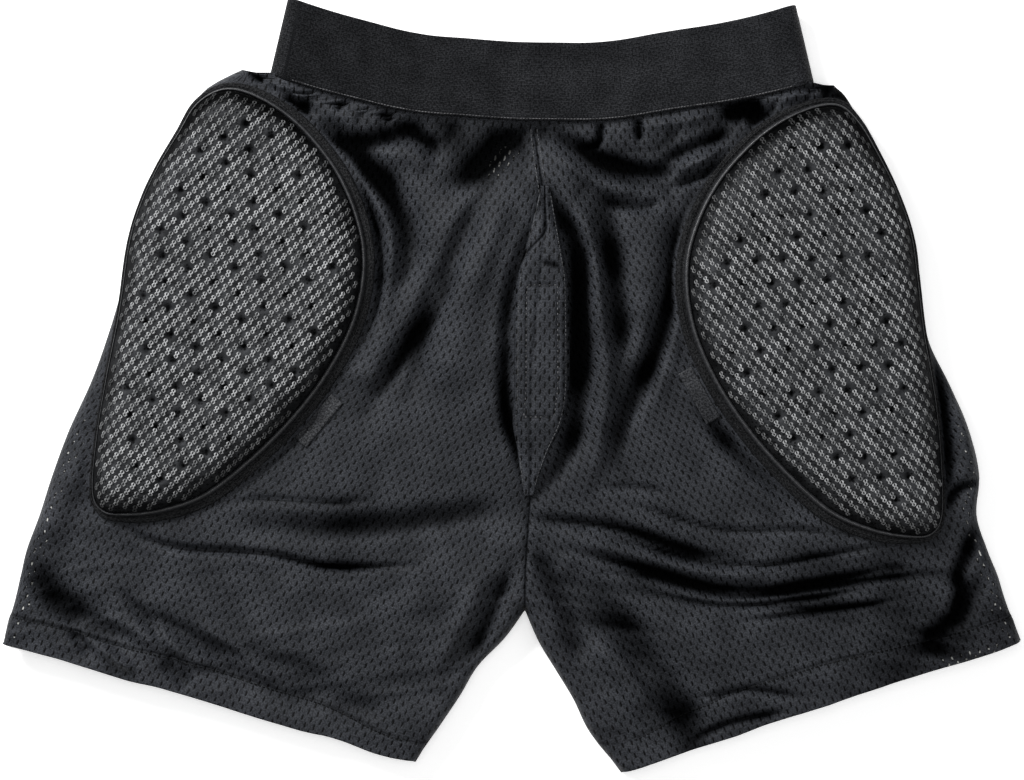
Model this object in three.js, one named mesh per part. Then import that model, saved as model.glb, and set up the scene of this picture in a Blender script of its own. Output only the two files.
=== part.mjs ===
// Padded protective shorts, laid flat on their back: an elastic waistband, an eyelet
// mesh body in four panels, two hip pads with piped bindings, a fly placket, two small
// labels and a tailbone pad under the seat. Millimetres, +Z up, +Y towards the waist.
import * as THREE from "three";

// Widths and lengths of the garment as it lies.
const waistWidth = 328; // across the lower edge of the waistband
const waistTaper = 11; // each end of the waistband leans in by this at its top
const waistShift = 18; // the waistband lies this far to the right of the hems' middle
const waistBow = 28; // the ends of the waistband lie this far above its middle
const hipWidth = 483; // across the side seams at the middle of the hip pads
const hemSpan = 613; // across both hems, side seam to side seam
const bodyLength = 391; // waistband's lower edge to the lowest corner of the hems

// Waistband.
const bandHeight = 47;
const bandWall = 2;
const tuckDepth = 6; // cloth that is caught inside the waistband
const gatherHeight = 1.1; // of the small pleats under the waistband
const gatherLength = 60;

// Cloth.
const clothThickness = 1.3;
const hemThickness = 2.4;
const hemStep = 0.8; // width of the step where the hem's second layer starts
const bodyLoft = 15; // open height between the front and the back
const legLoft = 12; // the same at the hems
const sideRise = 4; // the back's edges curl up to the seams by this
const rollRadius = 6; // the sheets turn down to their seams over this width
const clearance = 0.3; // between pieces that are sewn together
const restGap = 0.45; // between the cloth and what lies on it

// Hip pads and their bindings.
const padLength = 262;
const padWidth = 145;
const padThickness = 16;
const padEdge = 5;
const padBevel = 17;
const padInset = 4.6; // least distance from the pad's edge to the side seam
const tapeWidth = 8.5; // piping and flat tape on the inner side of a pad
const tapeThickness = 1.8;
const pipingHeight = 4.6;

// Labels.
const labelLength = 35;
const labelWidth = 9;
const labelThickness = 0.8;

// Fly placket.
const placketLength = 185;
const placketWidth = 33;
const placketThickness = 2.2;

// Tailbone pad, sewn to the outside of the back.
const tailLength = 140;
const tailWidth = 110;
const tailThickness = 9;
const tailEdge = 4;
const tailBevel = 10;
const tailTape = 8;
const tailDrop = 0.1; // from the waistband to the pad's top, of the body's length
const tailShoulder = 12; // the back stays raised this far round the pad
const tailRamp = 20; // and falls to the floor over this width
const frontLift = 9; // the front lies this much higher over the tailbone pad
const liftSpread = 0.65; // share of the lift's reach over which it falls away

// Numbers of steps in the meshes.
const gatherPleats = 8; // gathers across half of the front
const backColumns = 11;
const outlineSteps = 32;
const bandSteps = 14;
const bandTurnSteps = 6;

// Heights that follow from the sizes above.
const backEdgeTop = sideRise + clothThickness;
const frontEdgeBottom = backEdgeTop + clearance;
const plateau = clothThickness + bodyLoft;
const bandLoft = plateau + clothThickness + clearance + bandWall;
const bandRest = bandWall + clearance;
const restPlane = plateau + clothThickness + restGap;
const waistHalf = waistWidth / 2;
const hipHalf = hipWidth / 2;
const hemHalf = hemSpan / 2;

// Rows across the garment, from the edge caught in the waistband to the hems.
// half: share of the half width that "of" names; centre: share of waistShift;
// seam: the centre seam's place, share of hipHalf; out and inner: distances down at the
// side and at the middle, shares of bodyLength; rise: share of waistBow at the side;
// bow: how strongly the row curves. Below the crotch the two legs have their own inner
// ends: legs holds the left and right seam, then the left and right distance down.
const rows = [
  { of: waistHalf, half: 1.09, centre: 0.87, seam: 0.055, out: 0, inner: 0.017, rise: 1, bow: 2 },
  { of: hipHalf, half: 0.8, centre: 0.43, seam: 0.06, out: 0, inner: 0.036, rise: 0.66, bow: 2 },
  { of: hipHalf, half: 0.845, centre: 0.33, seam: 0.067, out: 0, inner: 0.07, rise: 0.05, bow: 1.8 },
  { of: hipHalf, half: 0.893, centre: 0.32, seam: 0.077, out: 0.043, inner: 0.109, rise: 0, bow: 1.5 },
  { of: hipHalf, half: 0.944, centre: 0.3, seam: 0.082, out: 0.104, inner: 0.163, rise: 0, bow: 1.4 },
  { of: hipHalf, half: 0.985, centre: 0.31, seam: 0.073, out: 0.181, inner: 0.227, rise: 0, bow: 1.3 },
  { of: hipHalf, half: 1, centre: 0.3, seam: 0.062, out: 0.258, inner: 0.296, rise: 0, bow: 1.2 },
  { of: hipHalf, half: 1.027, centre: 0.18, seam: 0.052, out: 0.334, inner: 0.368, rise: 0, bow: 1.1 },
  { of: hipHalf, half: 1.074, centre: 0.26, seam: 0.047, out: 0.403, inner: 0.439, rise: 0, bow: 1 },
  { of: hemHalf, half: 0.885, centre: 0.23, seam: 0.045, out: 0.472, inner: 0.506, rise: 0, bow: 1 },
  { of: hemHalf, half: 0.912, centre: 0.13, seam: 0.045, out: 0.541, inner: 0.575, rise: 0, bow: 1 },
  { of: hemHalf, half: 0.922, centre: -0.13, seam: 0.037, out: 0.603, inner: 0.649, rise: 0, bow: 1 },
  { of: hemHalf, half: 0.945, centre: -0.17, seam: 0.032, out: 0.656, inner: 0.71, rise: 0, bow: 1 },
  { of: hemHalf, half: 0.961, centre: -0.1, seam: 0.032, out: 0.695, inner: 0.752, rise: 0, bow: 1 },
  {
    of: hemHalf, half: 0.971, centre: -0.07, out: 0.725, rise: 0, bow: 1,
    legs: [-0.017, 0.065, 0.794, 0.799],
  },
  {
    of: hemHalf, half: 0.98, centre: -0.05, out: 0.748, rise: 0, bow: 1,
    legs: [-0.084, 0.109, 0.837, 0.844],
  },
  {
    of: hemHalf, half: 0.986, centre: -0.04, out: 0.76, rise: 0, bow: 1,
    legs: [-0.129, 0.152, 0.883, 0.888],
  },
  {
    of: hemHalf, half: 0.99, centre: -0.03, out: 0.769, rise: 0, bow: 1,
    legs: [-0.179, 0.194, 0.929, 0.94],
  },
  { of: hemHalf, half: 1, centre: 0, legs: [-0.241, 0.273, 0.985, 1], out: 0.799, rise: 0, bow: 1 },
];
const crotchRow = 13;
const hemRow = 17;

// The front's folds. Each is a line of places [across, down], shares of hipHalf from the
// middle and of bodyLength from the waistband, with a width and a height in shares of
// foldWidth and foldHeight. A height below zero is a valley, above zero a ridge.
const foldWidth = 20;
const foldHeight = 8;
const foldMargin = 9; // cloth that stays flat round a pad or the placket
const folds = [
  {
    name: "fly groove right", width: 0.55, height: -0.9,
    line: [[0.1, 0.11], [0.16, 0.2], [0.18, 0.31], [0.17, 0.44], [0.1, 0.53]],
  },
  {
    name: "fly groove left", width: 0.4, height: -0.6,
    line: [[0.08, 0.17], [0.01, 0.25], [-0.02, 0.35], [0.01, 0.46], [0.04, 0.54]],
  },
  {
    name: "fly ridge", width: 0.6, height: 0.5,
    line: [[0.13, 0.12], [0.21, 0.21], [0.23, 0.32], [0.22, 0.45], [0.17, 0.54]],
  },
  {
    name: "front right valley", width: 0.7, height: -0.5,
    line: [[0.24, 0.13], [0.26, 0.25], [0.25, 0.39]],
  },
  {
    name: "front right ridge", width: 0.8, height: 0.5,
    line: [[0.34, 0.12], [0.33, 0.22], [0.28, 0.42]],
  },
  {
    name: "pad side valley right", width: 0.8, height: -0.9,
    line: [[0.5, 0.1], [0.4, 0.22], [0.35, 0.36], [0.25, 0.48], [0.27, 0.55]],
  },
  {
    name: "front left valley", width: 0.8, height: -0.6,
    line: [[-0.03, 0.1], [-0.14, 0.2], [-0.19, 0.28], [-0.32, 0.43]],
  },
  {
    name: "front left branch", width: 0.6, height: -0.5,
    line: [[-0.16, 0.22], [-0.22, 0.34], [-0.24, 0.42]],
  },
  {
    name: "front left ridge", width: 0.8, height: 0.5,
    line: [[-0.1, 0.19], [-0.12, 0.29], [-0.2, 0.42]],
  },
  {
    name: "pad side ridge left", width: 0.7, height: 0.5,
    line: [[-0.42, 0.04], [-0.31, 0.1], [-0.26, 0.19], [-0.28, 0.28]],
  },
  {
    name: "yoke valley left", width: 0.6, height: -0.5,
    line: [[-0.5, 0.01], [-0.36, 0.06], [-0.25, 0.1]],
  },
  {
    name: "yoke valley right", width: 0.6, height: -0.5,
    line: [[0.12, 0.04], [0.3, 0.08], [0.5, 0.04]],
  },
  {
    name: "crotch fork left", width: 0.8, height: -0.6,
    line: [[0.03, 0.59], [-0.25, 0.62], [-0.6, 0.63]],
  },
  {
    name: "left thigh crease", width: 0.4, height: -0.5,
    line: [[-0.85, 0.64], [-0.7, 0.66], [-0.3, 0.68]],
  },
  {
    name: "left thigh ridge", width: 0.8, height: 0.5,
    line: [[-0.1, 0.66], [-0.45, 0.65], [-0.75, 0.63]],
  },
  {
    name: "crotch fork right", width: 0.6, height: -0.6,
    line: [[0.05, 0.6], [0.27, 0.63], [0.52, 0.66]],
  },
  {
    name: "right thigh valley", width: 0.7, height: -0.8,
    line: [[0.04, 0.64], [0.25, 0.69], [0.5, 0.72], [0.88, 0.71]],
  },
  {
    name: "right thigh ridge", width: 0.7, height: 0.5,
    line: [[0.2, 0.66], [0.5, 0.69], [0.8, 0.67]],
  },
  {
    name: "right inseam valley", width: 0.6, height: -0.5,
    line: [[0.08, 0.66], [0.15, 0.75], [0.21, 0.85]],
  },
  {
    name: "right leg valley", width: 0.8, height: -0.7,
    line: [[0.25, 0.75], [0.39, 0.83], [0.49, 0.94]],
  },
  {
    name: "left inseam valley", width: 0.6, height: -0.6,
    line: [[-0.01, 0.68], [-0.06, 0.76], [-0.11, 0.83]],
  },
  {
    name: "right side valley", width: 0.5, height: -0.7,
    line: [[1.13, 0.62], [1.09, 0.69], [1.06, 0.75]],
  },
  {
    name: "right side bulge", width: 0.5, height: 0.3,
    line: [[1.09, 0.45], [1.11, 0.55], [1.1, 0.6]],
  },
  {
    name: "left side valley", width: 0.8, height: -0.6,
    line: [[-1.2, 0.69], [-1.05, 0.75], [-0.85, 0.84]],
  },
];

// A hip pad's outline from its top round the inner side to its tip and back up the outer
// side. along: share of padLength from the top; across: share of padWidth from the line
// that joins top and tip; tape: share of tapeWidth that the binding has there.
const padOutline = [
  { along: 0, across: 0, tape: 0.6 },
  { along: 0, across: 0.15, tape: 0.75 },
  { along: 0.035, across: 0.33, tape: 0.85 },
  { along: 0.11, across: 0.525, tape: 0.9 },
  { along: 0.205, across: 0.665, tape: 0.95 },
  { along: 0.3, across: 0.74, tape: 0.95 },
  { along: 0.42, across: 0.76, tape: 1 },
  { along: 0.545, across: 0.72, tape: 1 },
  { along: 0.665, across: 0.64, tape: 1 },
  { along: 0.78, across: 0.53, tape: 1 },
  { along: 0.89, across: 0.39, tape: 1 },
  { along: 0.955, across: 0.235, tape: 0.9 },
  { along: 0.99, across: 0.09, tape: 0.7 },
  { along: 0.995, across: 0.01, tape: 0.5 },
  { along: 0.96, across: -0.045, tape: 0.35 },
  { along: 0.85, across: -0.09, tape: 0.3 },
  { along: 0.71, across: -0.125, tape: 0.3 },
  { along: 0.55, across: -0.155, tape: 0.3 },
  { along: 0.415, across: -0.22, tape: 0.3 },
  { along: 0.325, across: -0.237, tape: 0.3 },
  { along: 0.225, across: -0.215, tape: 0.3 },
  { along: 0.13, across: -0.17, tape: 0.35 },
  { along: 0.05, across: -0.107, tape: 0.45 },
];

// Where each pad's top lies, shares of hipHalf and bodyLength, how far it leans out at
// the bottom, and where its label lies: share of padLength down, distance from the
// binding as a share of labelWidth.
const hipPads = [
  { side: -1, name: "left", across: -0.705, down: -0.046, lean: 17, label: 0.71 },
  { side: 1, name: "right", across: 0.8, down: -0.022, lean: 13, label: 0.6 },
];

// Half of the tailbone pad's outline, a shield. along: share of tailLength;
// half: share of half of tailWidth.
const tailOutline = [
  { along: 0, half: 0 },
  { along: 0, half: 0.6 },
  { along: 0.05, half: 0.88 },
  { along: 0.25, half: 1 },
  { along: 0.5, half: 0.92 },
  { along: 0.75, half: 0.66 },
  { along: 0.93, half: 0.32 },
  { along: 1, half: 0 },
];

// Half of the placket's outline: pointed at the top, tapering at the bottom.
const placketRows = [
  { along: 0, half: 0.16 },
  { along: 0.1, half: 0.42 },
  { along: 0.2, half: 0.7 },
  { along: 0.32, half: 0.95 },
  { along: 0.5, half: 1 },
  { along: 0.68, half: 1 },
  { along: 0.78, half: 0.85 },
  { along: 0.88, half: 0.55 },
  { along: 1, half: 0.2 },
];
const placketTop = { across: 0.082, down: 0.1, drift: -0.055 };

const cloth = new THREE.MeshStandardMaterial({ color: 0x24272b, roughness: 0.75, metalness: 0 });
const elastic = new THREE.MeshStandardMaterial({ color: 0x141517, roughness: 0.8, metalness: 0 });
const spacerMesh = new THREE.MeshStandardMaterial({ color: 0x3a3c40, roughness: 0.85, metalness: 0 });
const tape = new THREE.MeshStandardMaterial({ color: 0x17181a, roughness: 0.55, metalness: 0 });
const satin = new THREE.MeshStandardMaterial({ color: 0x1c1d20, roughness: 0.45, metalness: 0 });

const mix = (a, b, t) => a + (b - a) * t;
const clamp01 = (t) => Math.min(1, Math.max(0, t));
const smooth = (t) => clamp01(t) ** 2 * (3 - 2 * clamp01(t));

// The waistband's lower edge is a shallow bow: its height above the middle at x.
function bandEdge(x) {
  return waistBow * ((x - waistShift) / waistHalf) ** 2;
}

// Left or right outer and inner ends of a row of the table.
function rowEnds(row, side) {
  const leg = side < 0 ? 0 : 1;
  return {
    outX: waistShift * row.centre + side * row.of * row.half,
    outY: waistBow * row.rise - bodyLength * row.out,
    inX: hipHalf * (row.legs ? row.legs[leg] : row.seam),
    inY: -bodyLength * (row.legs ? row.legs[2 + leg] : row.inner),
    bow: row.bow,
  };
}

// Ends of the row at place v, a whole number at each row of the table and between them.
function endsAt(v, side) {
  const low = Math.min(Math.floor(v), rows.length - 2);
  const a = rowEnds(rows[low], side);
  const b = rowEnds(rows[low + 1], side);
  return Object.fromEntries(Object.keys(a).map((key) => [key, mix(a[key], b[key], v - low)]));
}

// A place on the cloth of one half: v runs down the rows, and u runs from the middle
// (0) to the side seam (1). The two rows at the waistband follow its bowed edge.
function clothPlace(u, v, side) {
  if (v < 0) {
    const drop = v < -1.5 ? tuckDepth : -tuckDepth / 4;
    const seam = hipHalf * rows[0].seam;
    const end = waistShift + side * (waistHalf - bandLoft / 2);
    const x = mix(seam, end, u);
    return [x, bandEdge(x) + drop];
  }
  const e = endsAt(v, side);
  return [mix(e.inX, e.outX, u), mix(e.inY, e.outY, u ** e.bow)];
}

// Distance from a place to a line of points, and how far along the line it is nearest.
function toLine(x, y, line) {
  let best = Infinity;
  let along = 0;
  for (let i = 0; i + 1 < line.length; i++) {
    const [ax, ay] = line[i];
    const [bx, by] = line[i + 1];
    const span = (bx - ax) ** 2 + (by - ay) ** 2;
    const t = clamp01(((x - ax) * (bx - ax) + (y - ay) * (by - ay)) / span);
    const d = Math.hypot(x - mix(ax, bx, t), y - mix(ay, by, t));
    if (d < best) {
      best = d;
      along = (i + t) / (line.length - 1);
    }
  }
  return { d: best, along };
}

// True where a place lies inside a closed outline.
function inside(x, y, outline) {
  let odd = false;
  outline.forEach(([ax, ay], i) => {
    const [bx, by] = outline[(i + 1) % outline.length];
    if (ay > y !== by > y && x < ax + ((y - ay) / (by - ay)) * (bx - ax)) odd = !odd;
  });
  return odd;
}

// Distance outside a closed outline, below zero inside it.
function outside(x, y, outline) {
  const { d } = toLine(x, y, [...outline, outline[0]]);
  return inside(x, y, outline) ? -d : d;
}

const sideSeams = [-1, 1].map((side) =>
  rows.map((row) => rowEnds(row, side)).map((e) => [e.outX, e.outY]),
);
const inseams = [-1, 1].map((side) =>
  rows.slice(crotchRow).map((row) => rowEnds(row, side)).map((e) => [e.inX, e.inY]),
);

// Evenly spaced points on a smooth closed curve through the given ones.
function closedCurve(points, steps) {
  const curve = new THREE.CatmullRomCurve3(
    points.map(([x, y]) => new THREE.Vector3(x, y, 0)), true, "centripetal",
  );
  return curve.getSpacedPoints(steps).slice(0, steps).map((p) => [p.x, p.y]);
}

// Keeps a place at least inset inside the side seam of its half.
function keptInside([x, y], side, inset) {
  const seam = sideSeams[side < 0 ? 0 : 1];
  const i = seam.findIndex(([, sy], k) => k > 0 && sy <= y);
  if (i < 1) return [x, y];
  const [ax, ay] = seam[i - 1];
  const [bx, by] = seam[i];
  const edge = mix(ax, bx, clamp01((y - ay) / (by - ay)));
  const lean = Math.hypot(1, (bx - ax) / (by - ay));
  const limit = edge - side * inset * lean;
  return [side < 0 ? Math.max(x, limit) : Math.min(x, limit), y];
}

// Outline of a hip pad on the garment, and the binding's width at each of its points.
function padShape({ side, across, down, lean }) {
  const turn = THREE.MathUtils.degToRad(lean);
  const placed = padOutline.map((p) => {
    const a = p.along * padLength;
    const c = p.across * padWidth;
    const x = hipHalf * across + side * (a * Math.sin(turn) - c * Math.cos(turn));
    const y = -bodyLength * down - a * Math.cos(turn) - c * Math.sin(turn);
    return [...keptInside([x, y], side, padInset), p.tape * tapeWidth];
  });
  const curve = new THREE.CatmullRomCurve3(
    placed.map((p) => new THREE.Vector3(...p)), true, "centripetal",
  );
  const points = curve.getSpacedPoints(outlineSteps).slice(0, outlineSteps);
  return {
    outline: points.map((p) => [p.x, p.y]),
    tape: points.map((p) => Math.max(p.z, (padInset - clearance) / 2)),
  };
}

// Points moved square to a closed outline, outwards by the given distances.
function grown(outline, distances) {
  const count = outline.length;
  const area = outline.reduce((sum, [x, y], i) => {
    const [bx, by] = outline[(i + 1) % count];
    return sum + x * by - bx * y;
  }, 0);
  const sign = Math.sign(area);
  return outline.map(([x, y], i) => {
    const [ax, ay] = outline[(i + count - 1) % count];
    const [bx, by] = outline[(i + 1) % count];
    const size = Math.hypot(bx - ax, by - ay);
    const d = sign * distances[i];
    return [x + (d * (by - ay)) / size, y - (d * (bx - ax)) / size];
  });
}

const padShapes = hipPads.map(padShape);
const bindingRims = padShapes.map(({ outline, tape }) =>
  grown(outline, tape.map((t) => t + clearance)),
);
const seamMiddle = hipHalf * rows[4].seam;
const tailTop = -bodyLength * tailDrop;
const tailShape = closedCurve(
  [
    ...tailOutline,
    ...tailOutline.slice(1, -1).reverse().map((p) => ({ along: p.along, half: -p.half })),
  ].map((p) => [seamMiddle + (p.half * tailWidth) / 2, tailTop - p.along * tailLength]),
  outlineSteps,
);

// Profile of a sheet that turns down to a seam: 0 at the seam, 1 past the roll.
function roll(d) {
  return Math.sqrt(1 - (1 - clamp01(d / rollRadius)) ** 2);
}

// How far a place is free of the seams, from 0 on a seam to 1.
function free(x, y) {
  return [...sideSeams, ...inseams].reduce((share, line) => share * roll(toLine(x, y, line).d), 1);
}

const foldLines = folds.map((fold) => ({
  ...fold,
  line: fold.line.map(([across, down]) => [hipHalf * across, -bodyLength * down]),
}));

// The placket's outline points, left and right of its own middle line.
const placketSections = placketRows.map((row) => {
  const y = -bodyLength * placketTop.down - row.along * placketLength;
  const x = hipHalf * (placketTop.across + placketTop.drift * smooth(row.along));
  return { x, y, half: (row.half * placketWidth) / 2 };
});
const placketOutline = [
  ...placketSections.map((s) => [s.x - s.half, s.y]),
  ...placketSections.map((s) => [s.x + s.half, s.y]).reverse(),
];

// Folds fade out under the pads, the placket and the waistband, where the cloth is flat.
function foldShare(x, y) {
  const fade = foldWidth * 0.6;
  const clear = [...bindingRims, placketOutline].reduce(
    (least, rim) => Math.min(least, outside(x, y, rim)), bandEdge(x) - y,
  );
  return smooth((clear - foldMargin) / fade);
}

// Height of the folds at a place on the front. Where several meet, the sum levels off.
function foldAt(x, y) {
  const sum = foldLines.reduce((total, fold) => {
    const { d, along } = toLine(x, y, fold.line);
    const ends = smooth(along * 5) * smooth((1 - along) * 5) * 0.6 + 0.4;
    return total + fold.height * ends * Math.exp(-((d / (foldWidth * fold.width)) ** 2));
  }, 0);
  return foldHeight * Math.tanh(sum) * foldShare(x, y);
}

// The front is lifted over the tailbone pad, in a wide low mound.
function mound(x, y) {
  const reachX = tailWidth * 0.75;
  const reachY = tailLength;
  const r = Math.hypot((x - seamMiddle * 0.6) / reachX, (y - tailTop + tailLength * 0.45) / reachY);
  const below = smooth((bandEdge(x) - y) / (bodyLength * tailDrop));
  return frontLift * below * smooth((1 - r) / liftSpread);
}

// Underside of the front cloth.
function frontUnder(x, y) {
  const down = -y / bodyLength;
  const leg = smooth((down - rows[crotchRow].out) / (1 - rows[crotchRow].out));
  const loft = mix(plateau, clothThickness + legLoft, leg);
  const top = loft + mound(x, y) + foldAt(x, y);
  return mix(frontEdgeBottom, top, free(x, y));
}

// Top of the back cloth, given its thickness there.
function backOver(x, y, thickness) {
  const drop = bandEdge(x) - y;
  const band = bandRest * (1 - smooth((drop - tuckDepth / 4) / tuckDepth));
  const d = outside(x, y, tailShape);
  const seat = (tailThickness + restGap) * smooth((tailShoulder + tailRamp - d) / tailRamp);
  const flat = thickness + Math.max(band, seat);
  return mix(backEdgeTop, flat, free(x, y));
}

// A named mesh whose faces are turned out.
function piece(name, material, vertices, triangles) {
  const at = (i) => new THREE.Vector3(...vertices[i]);
  const volume = triangles.reduce((sum, [a, b, c]) => sum + at(a).dot(at(b).cross(at(c))), 0);
  const faces = volume < 0 ? triangles.map(([a, b, c]) => [a, c, b]) : triangles;
  const geometry = new THREE.BufferGeometry();
  geometry.setAttribute("position", new THREE.Float32BufferAttribute(vertices.flat(), 3));
  geometry.setIndex(faces.flat());
  geometry.computeVertexNormals();
  const mesh = new THREE.Mesh(geometry, material);
  mesh.name = name;
  return mesh;
}

// Two triangles for each cell between neighbouring rings of equal length.
function strips(ringCount, size, closedRings) {
  const triangles = [];
  for (let r = 0; r + 1 < ringCount + (closedRings ? 1 : 0); r++)
    for (let i = 0; i < size; i++) {
      const next = (i + 1) % size;
      const other = (r + 1) % ringCount;
      const [a, b, c, d] = [r * size + i, r * size + next, other * size + next, other * size + i];
      triangles.push([a, b, c], [a, c, d]);
    }
  return triangles;
}

// A closed body lofted through rings and closed by a point at each end.
function domed(name, material, rings, first, last) {
  const size = rings[0].length;
  const vertices = [...rings.flat(), first, last];
  const triangles = strips(rings.length, size, false);
  const start = rings.length * size;
  for (let i = 0; i < size; i++) {
    const next = (i + 1) % size;
    triangles.push([start, next, i]);
    triangles.push([start + 1, start - size + i, start - size + next]);
  }
  return piece(name, material, vertices, triangles);
}

// A closed ring of equal sections, such as a binding or the waistband.
function hoop(name, material, sections) {
  return piece(name, material, sections.flat(), strips(sections.length, sections[0].length, true));
}

// A sheet between a grid of upper points and a grid of lower points.
function sheet(name, material, upper, lower) {
  const sections = upper.map((row, r) => [...row, ...[...lower[r]].reverse()]);
  const size = sections[0].length;
  const width = upper[0].length;
  const triangles = strips(sections.length, size, false);
  for (const [r, flip] of [[0, true], [sections.length - 1, false]])
    for (let i = 0; i + 1 < width; i++) {
      const start = r * size;
      const [a, b, c, d] = [start + i, start + i + 1, start + size - 2 - i, start + size - 1 - i];
      triangles.push(flip ? [a, c, b] : [a, b, c], flip ? [a, d, c] : [a, c, d]);
    }
  return piece(name, material, sections.flat(), triangles);
}

// Shares of a row's width at which the columns of a sheet stand: near each seam at the
// roll's own steps, and evenly between.
function columns(width, between) {
  const near = [0, 0.2, 0.5, 1].map((share) => (share * rollRadius) / width);
  const inner = Array.from({ length: between - 1 }, (_, i) =>
    mix(near[3], 1 - near[3], (i + 1) / between),
  );
  return [...near, ...inner, ...near.map((n) => 1 - n).reverse()];
}

// Rows of a sheet: the caught edge, the edge of the waistband, the table's rows, more
// between them where asked, and the hem's step.
function rowPlaces(between) {
  const places = [-2, -1];
  for (let v = 0; v < rows.length - 1; v++) {
    places.push(v);
    if (between(v)) places.push(v + 0.5);
  }
  const step = hemStep / (bodyLength * 0.035);
  places.splice(places.indexOf(hemRow), 1, hemRow - step, hemRow);
  return [...places, rows.length - 1];
}

const thicknessAt = (v) => (v >= hemRow ? hemThickness : clothThickness);

// One half of the front or the back.
function panel(name, side, front) {
  const upper = [];
  const lower = [];
  const middles = front ? 2 * gatherPleats : backColumns;
  for (const v of rowPlaces((row) => front && row > 4 && row < crotchRow - 1)) {
    const [ax, ay] = clothPlace(0, v, side);
    const [bx, by] = clothPlace(1, v, side);
    const over = [];
    const under = [];
    columns(Math.hypot(bx - ax, by - ay), middles).forEach((u, i) => {
      let [x, y] = clothPlace(u, v, side);
      if (u === 0 && v <= crotchRow) x += (side * clearance) / 2;
      if (u === 0 && v > crotchRow) x += side * clearance;
      const thickness = thicknessAt(v);
      const drop = bandEdge(x) - y;
      const start = smooth((drop - tuckDepth / 4) / tuckDepth);
      const end = smooth(2 - (2 * drop) / gatherLength);
      const pleat = (i % 2 ? 1 : -1) * gatherHeight * start * end * foldShare(x, y) * free(x, y);
      const z = front ? frontUnder(x, y) + pleat : backOver(x, y, thickness) - thickness;
      under.push([x, y, z]);
      over.push([x, y, z + thickness]);
    });
    upper.push(over);
    lower.push(under);
  }
  return sheet(name, cloth, upper, lower);
}

// The waistband: a flattened ring with round folded ends, bowed in plan.
function waistband() {
  const ring = (inset) => {
    const radius = bandLoft / 2 - inset;
    const straight = waistHalf - bandLoft / 2;
    const stations = [];
    for (const turn of [1, -1]) {
      for (let i = 0; i < bandSteps; i++)
        stations.push([turn * mix(-straight, straight, i / bandSteps), turn * radius]);
      for (let i = 0; i < bandTurnSteps; i++) {
        const angle = (Math.PI * i) / bandTurnSteps;
        stations.push([
          turn * (straight + radius * Math.sin(angle)),
          turn * radius * Math.cos(angle),
        ]);
      }
    }
    return stations;
  };
  const taper = (waistHalf - waistTaper) / waistHalf;
  const lowEdge = ([a, z]) => [waistShift + a, bandEdge(waistShift + a), bandLoft / 2 + z];
  const topEdge = ([a, z]) => [
    waistShift + a * taper,
    bandEdge(waistShift + a) + bandHeight,
    bandLoft / 2 + z,
  ];
  const outer = ring(0);
  const inner = ring(bandWall);
  return hoop(
    "waistband",
    elastic,
    outer.map((p, i) => [lowEdge(p), topEdge(p), topEdge(inner[i]), lowEdge(inner[i])]),
  );
}

// Rings of an outline drawn in towards its middle, with a height at each place.
function drawnIn(outline, middle, steps, height) {
  return steps.map(({ by, share }) =>
    outline.map(([x, y]) => {
      const reach = Math.hypot(x - middle[0], y - middle[1]);
      const t = share ?? by / reach;
      const px = mix(x, middle[0], t);
      const py = mix(y, middle[1], t);
      return [px, py, height(px, py)];
    }),
  );
}

// A foam pad with a flat underside and a crowned top that falls away near its edge.
function pad(name, outline, sizes) {
  const count = outline.length;
  const middle = [0, 1].map((axis) => outline.reduce((sum, p) => sum + p[axis], 0) / count);
  const { base, thickness, edge, bevel } = sizes;
  const top = (x, y) => {
    const depth = clamp01(Math.max(0, -outside(x, y, outline)) / bevel);
    return base + mix(edge, thickness, Math.sin((depth * Math.PI) / 2));
  };
  const low = drawnIn(outline, middle, [{ share: 0.5 }, { by: 0 }], () => base);
  const bevelSteps = [0, 0.2, 0.5, 1].map((share) => ({ by: bevel * share }));
  const steps = [...bevelSteps, { share: 0.45 }, { share: 0.75 }];
  const high = drawnIn(outline, middle, steps, top);
  high[0] = high[0].map(([x, y]) => [x, y, base + edge]);
  return domed(
    name,
    spacerMesh,
    [...low, ...high],
    [...middle, base],
    [...middle, base + thickness],
  );
}

// Piping and flat tape round a pad, lying on the same plane as the pad.
function binding(name, outline, widths, base) {
  const ringAt = (share, height) =>
    grown(outline, widths.map((w) => clearance + share * w)).map((p) => [...p, base + height]);
  const rings = [
    ringAt(0, 0),
    ringAt(0, pipingHeight * 0.75),
    ringAt(0.2, pipingHeight),
    ringAt(0.42, tapeThickness),
    ringAt(1, tapeThickness * 0.8),
    ringAt(1, 0),
  ];
  return hoop(name, tape, outline.map((_, i) => rings.map((ring) => ring[i])));
}

// The placket follows the front's surface under it.
function placket() {
  const shares = [-1, -0.75, 0, 0.75, 1];
  const upper = [];
  const lower = [];
  placketSections.forEach(({ x, y, half }, r) => {
    for (const t of [0, 0.5]) {
      const next = placketSections[r + 1];
      if (t && !next) break;
      const cx = t ? mix(x, next.x, t) : x;
      const cy = t ? mix(y, next.y, t) : y;
      const h = t ? mix(half, next.half, t) : half;
      const under = shares.map((s) => {
        const px = cx + s * h;
        return [px, cy, frontUnder(px, cy) + clothThickness + restGap];
      });
      lower.push(under);
      upper.push(
        under.map(([px, py, pz], i) => {
          const rim = i === 0 || i === shares.length - 1;
          return [px, py, pz + placketThickness * (rim ? 0.6 : 1)];
        }),
      );
    }
  });
  return sheet("fly_placket", cloth, upper, lower);
}

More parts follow.
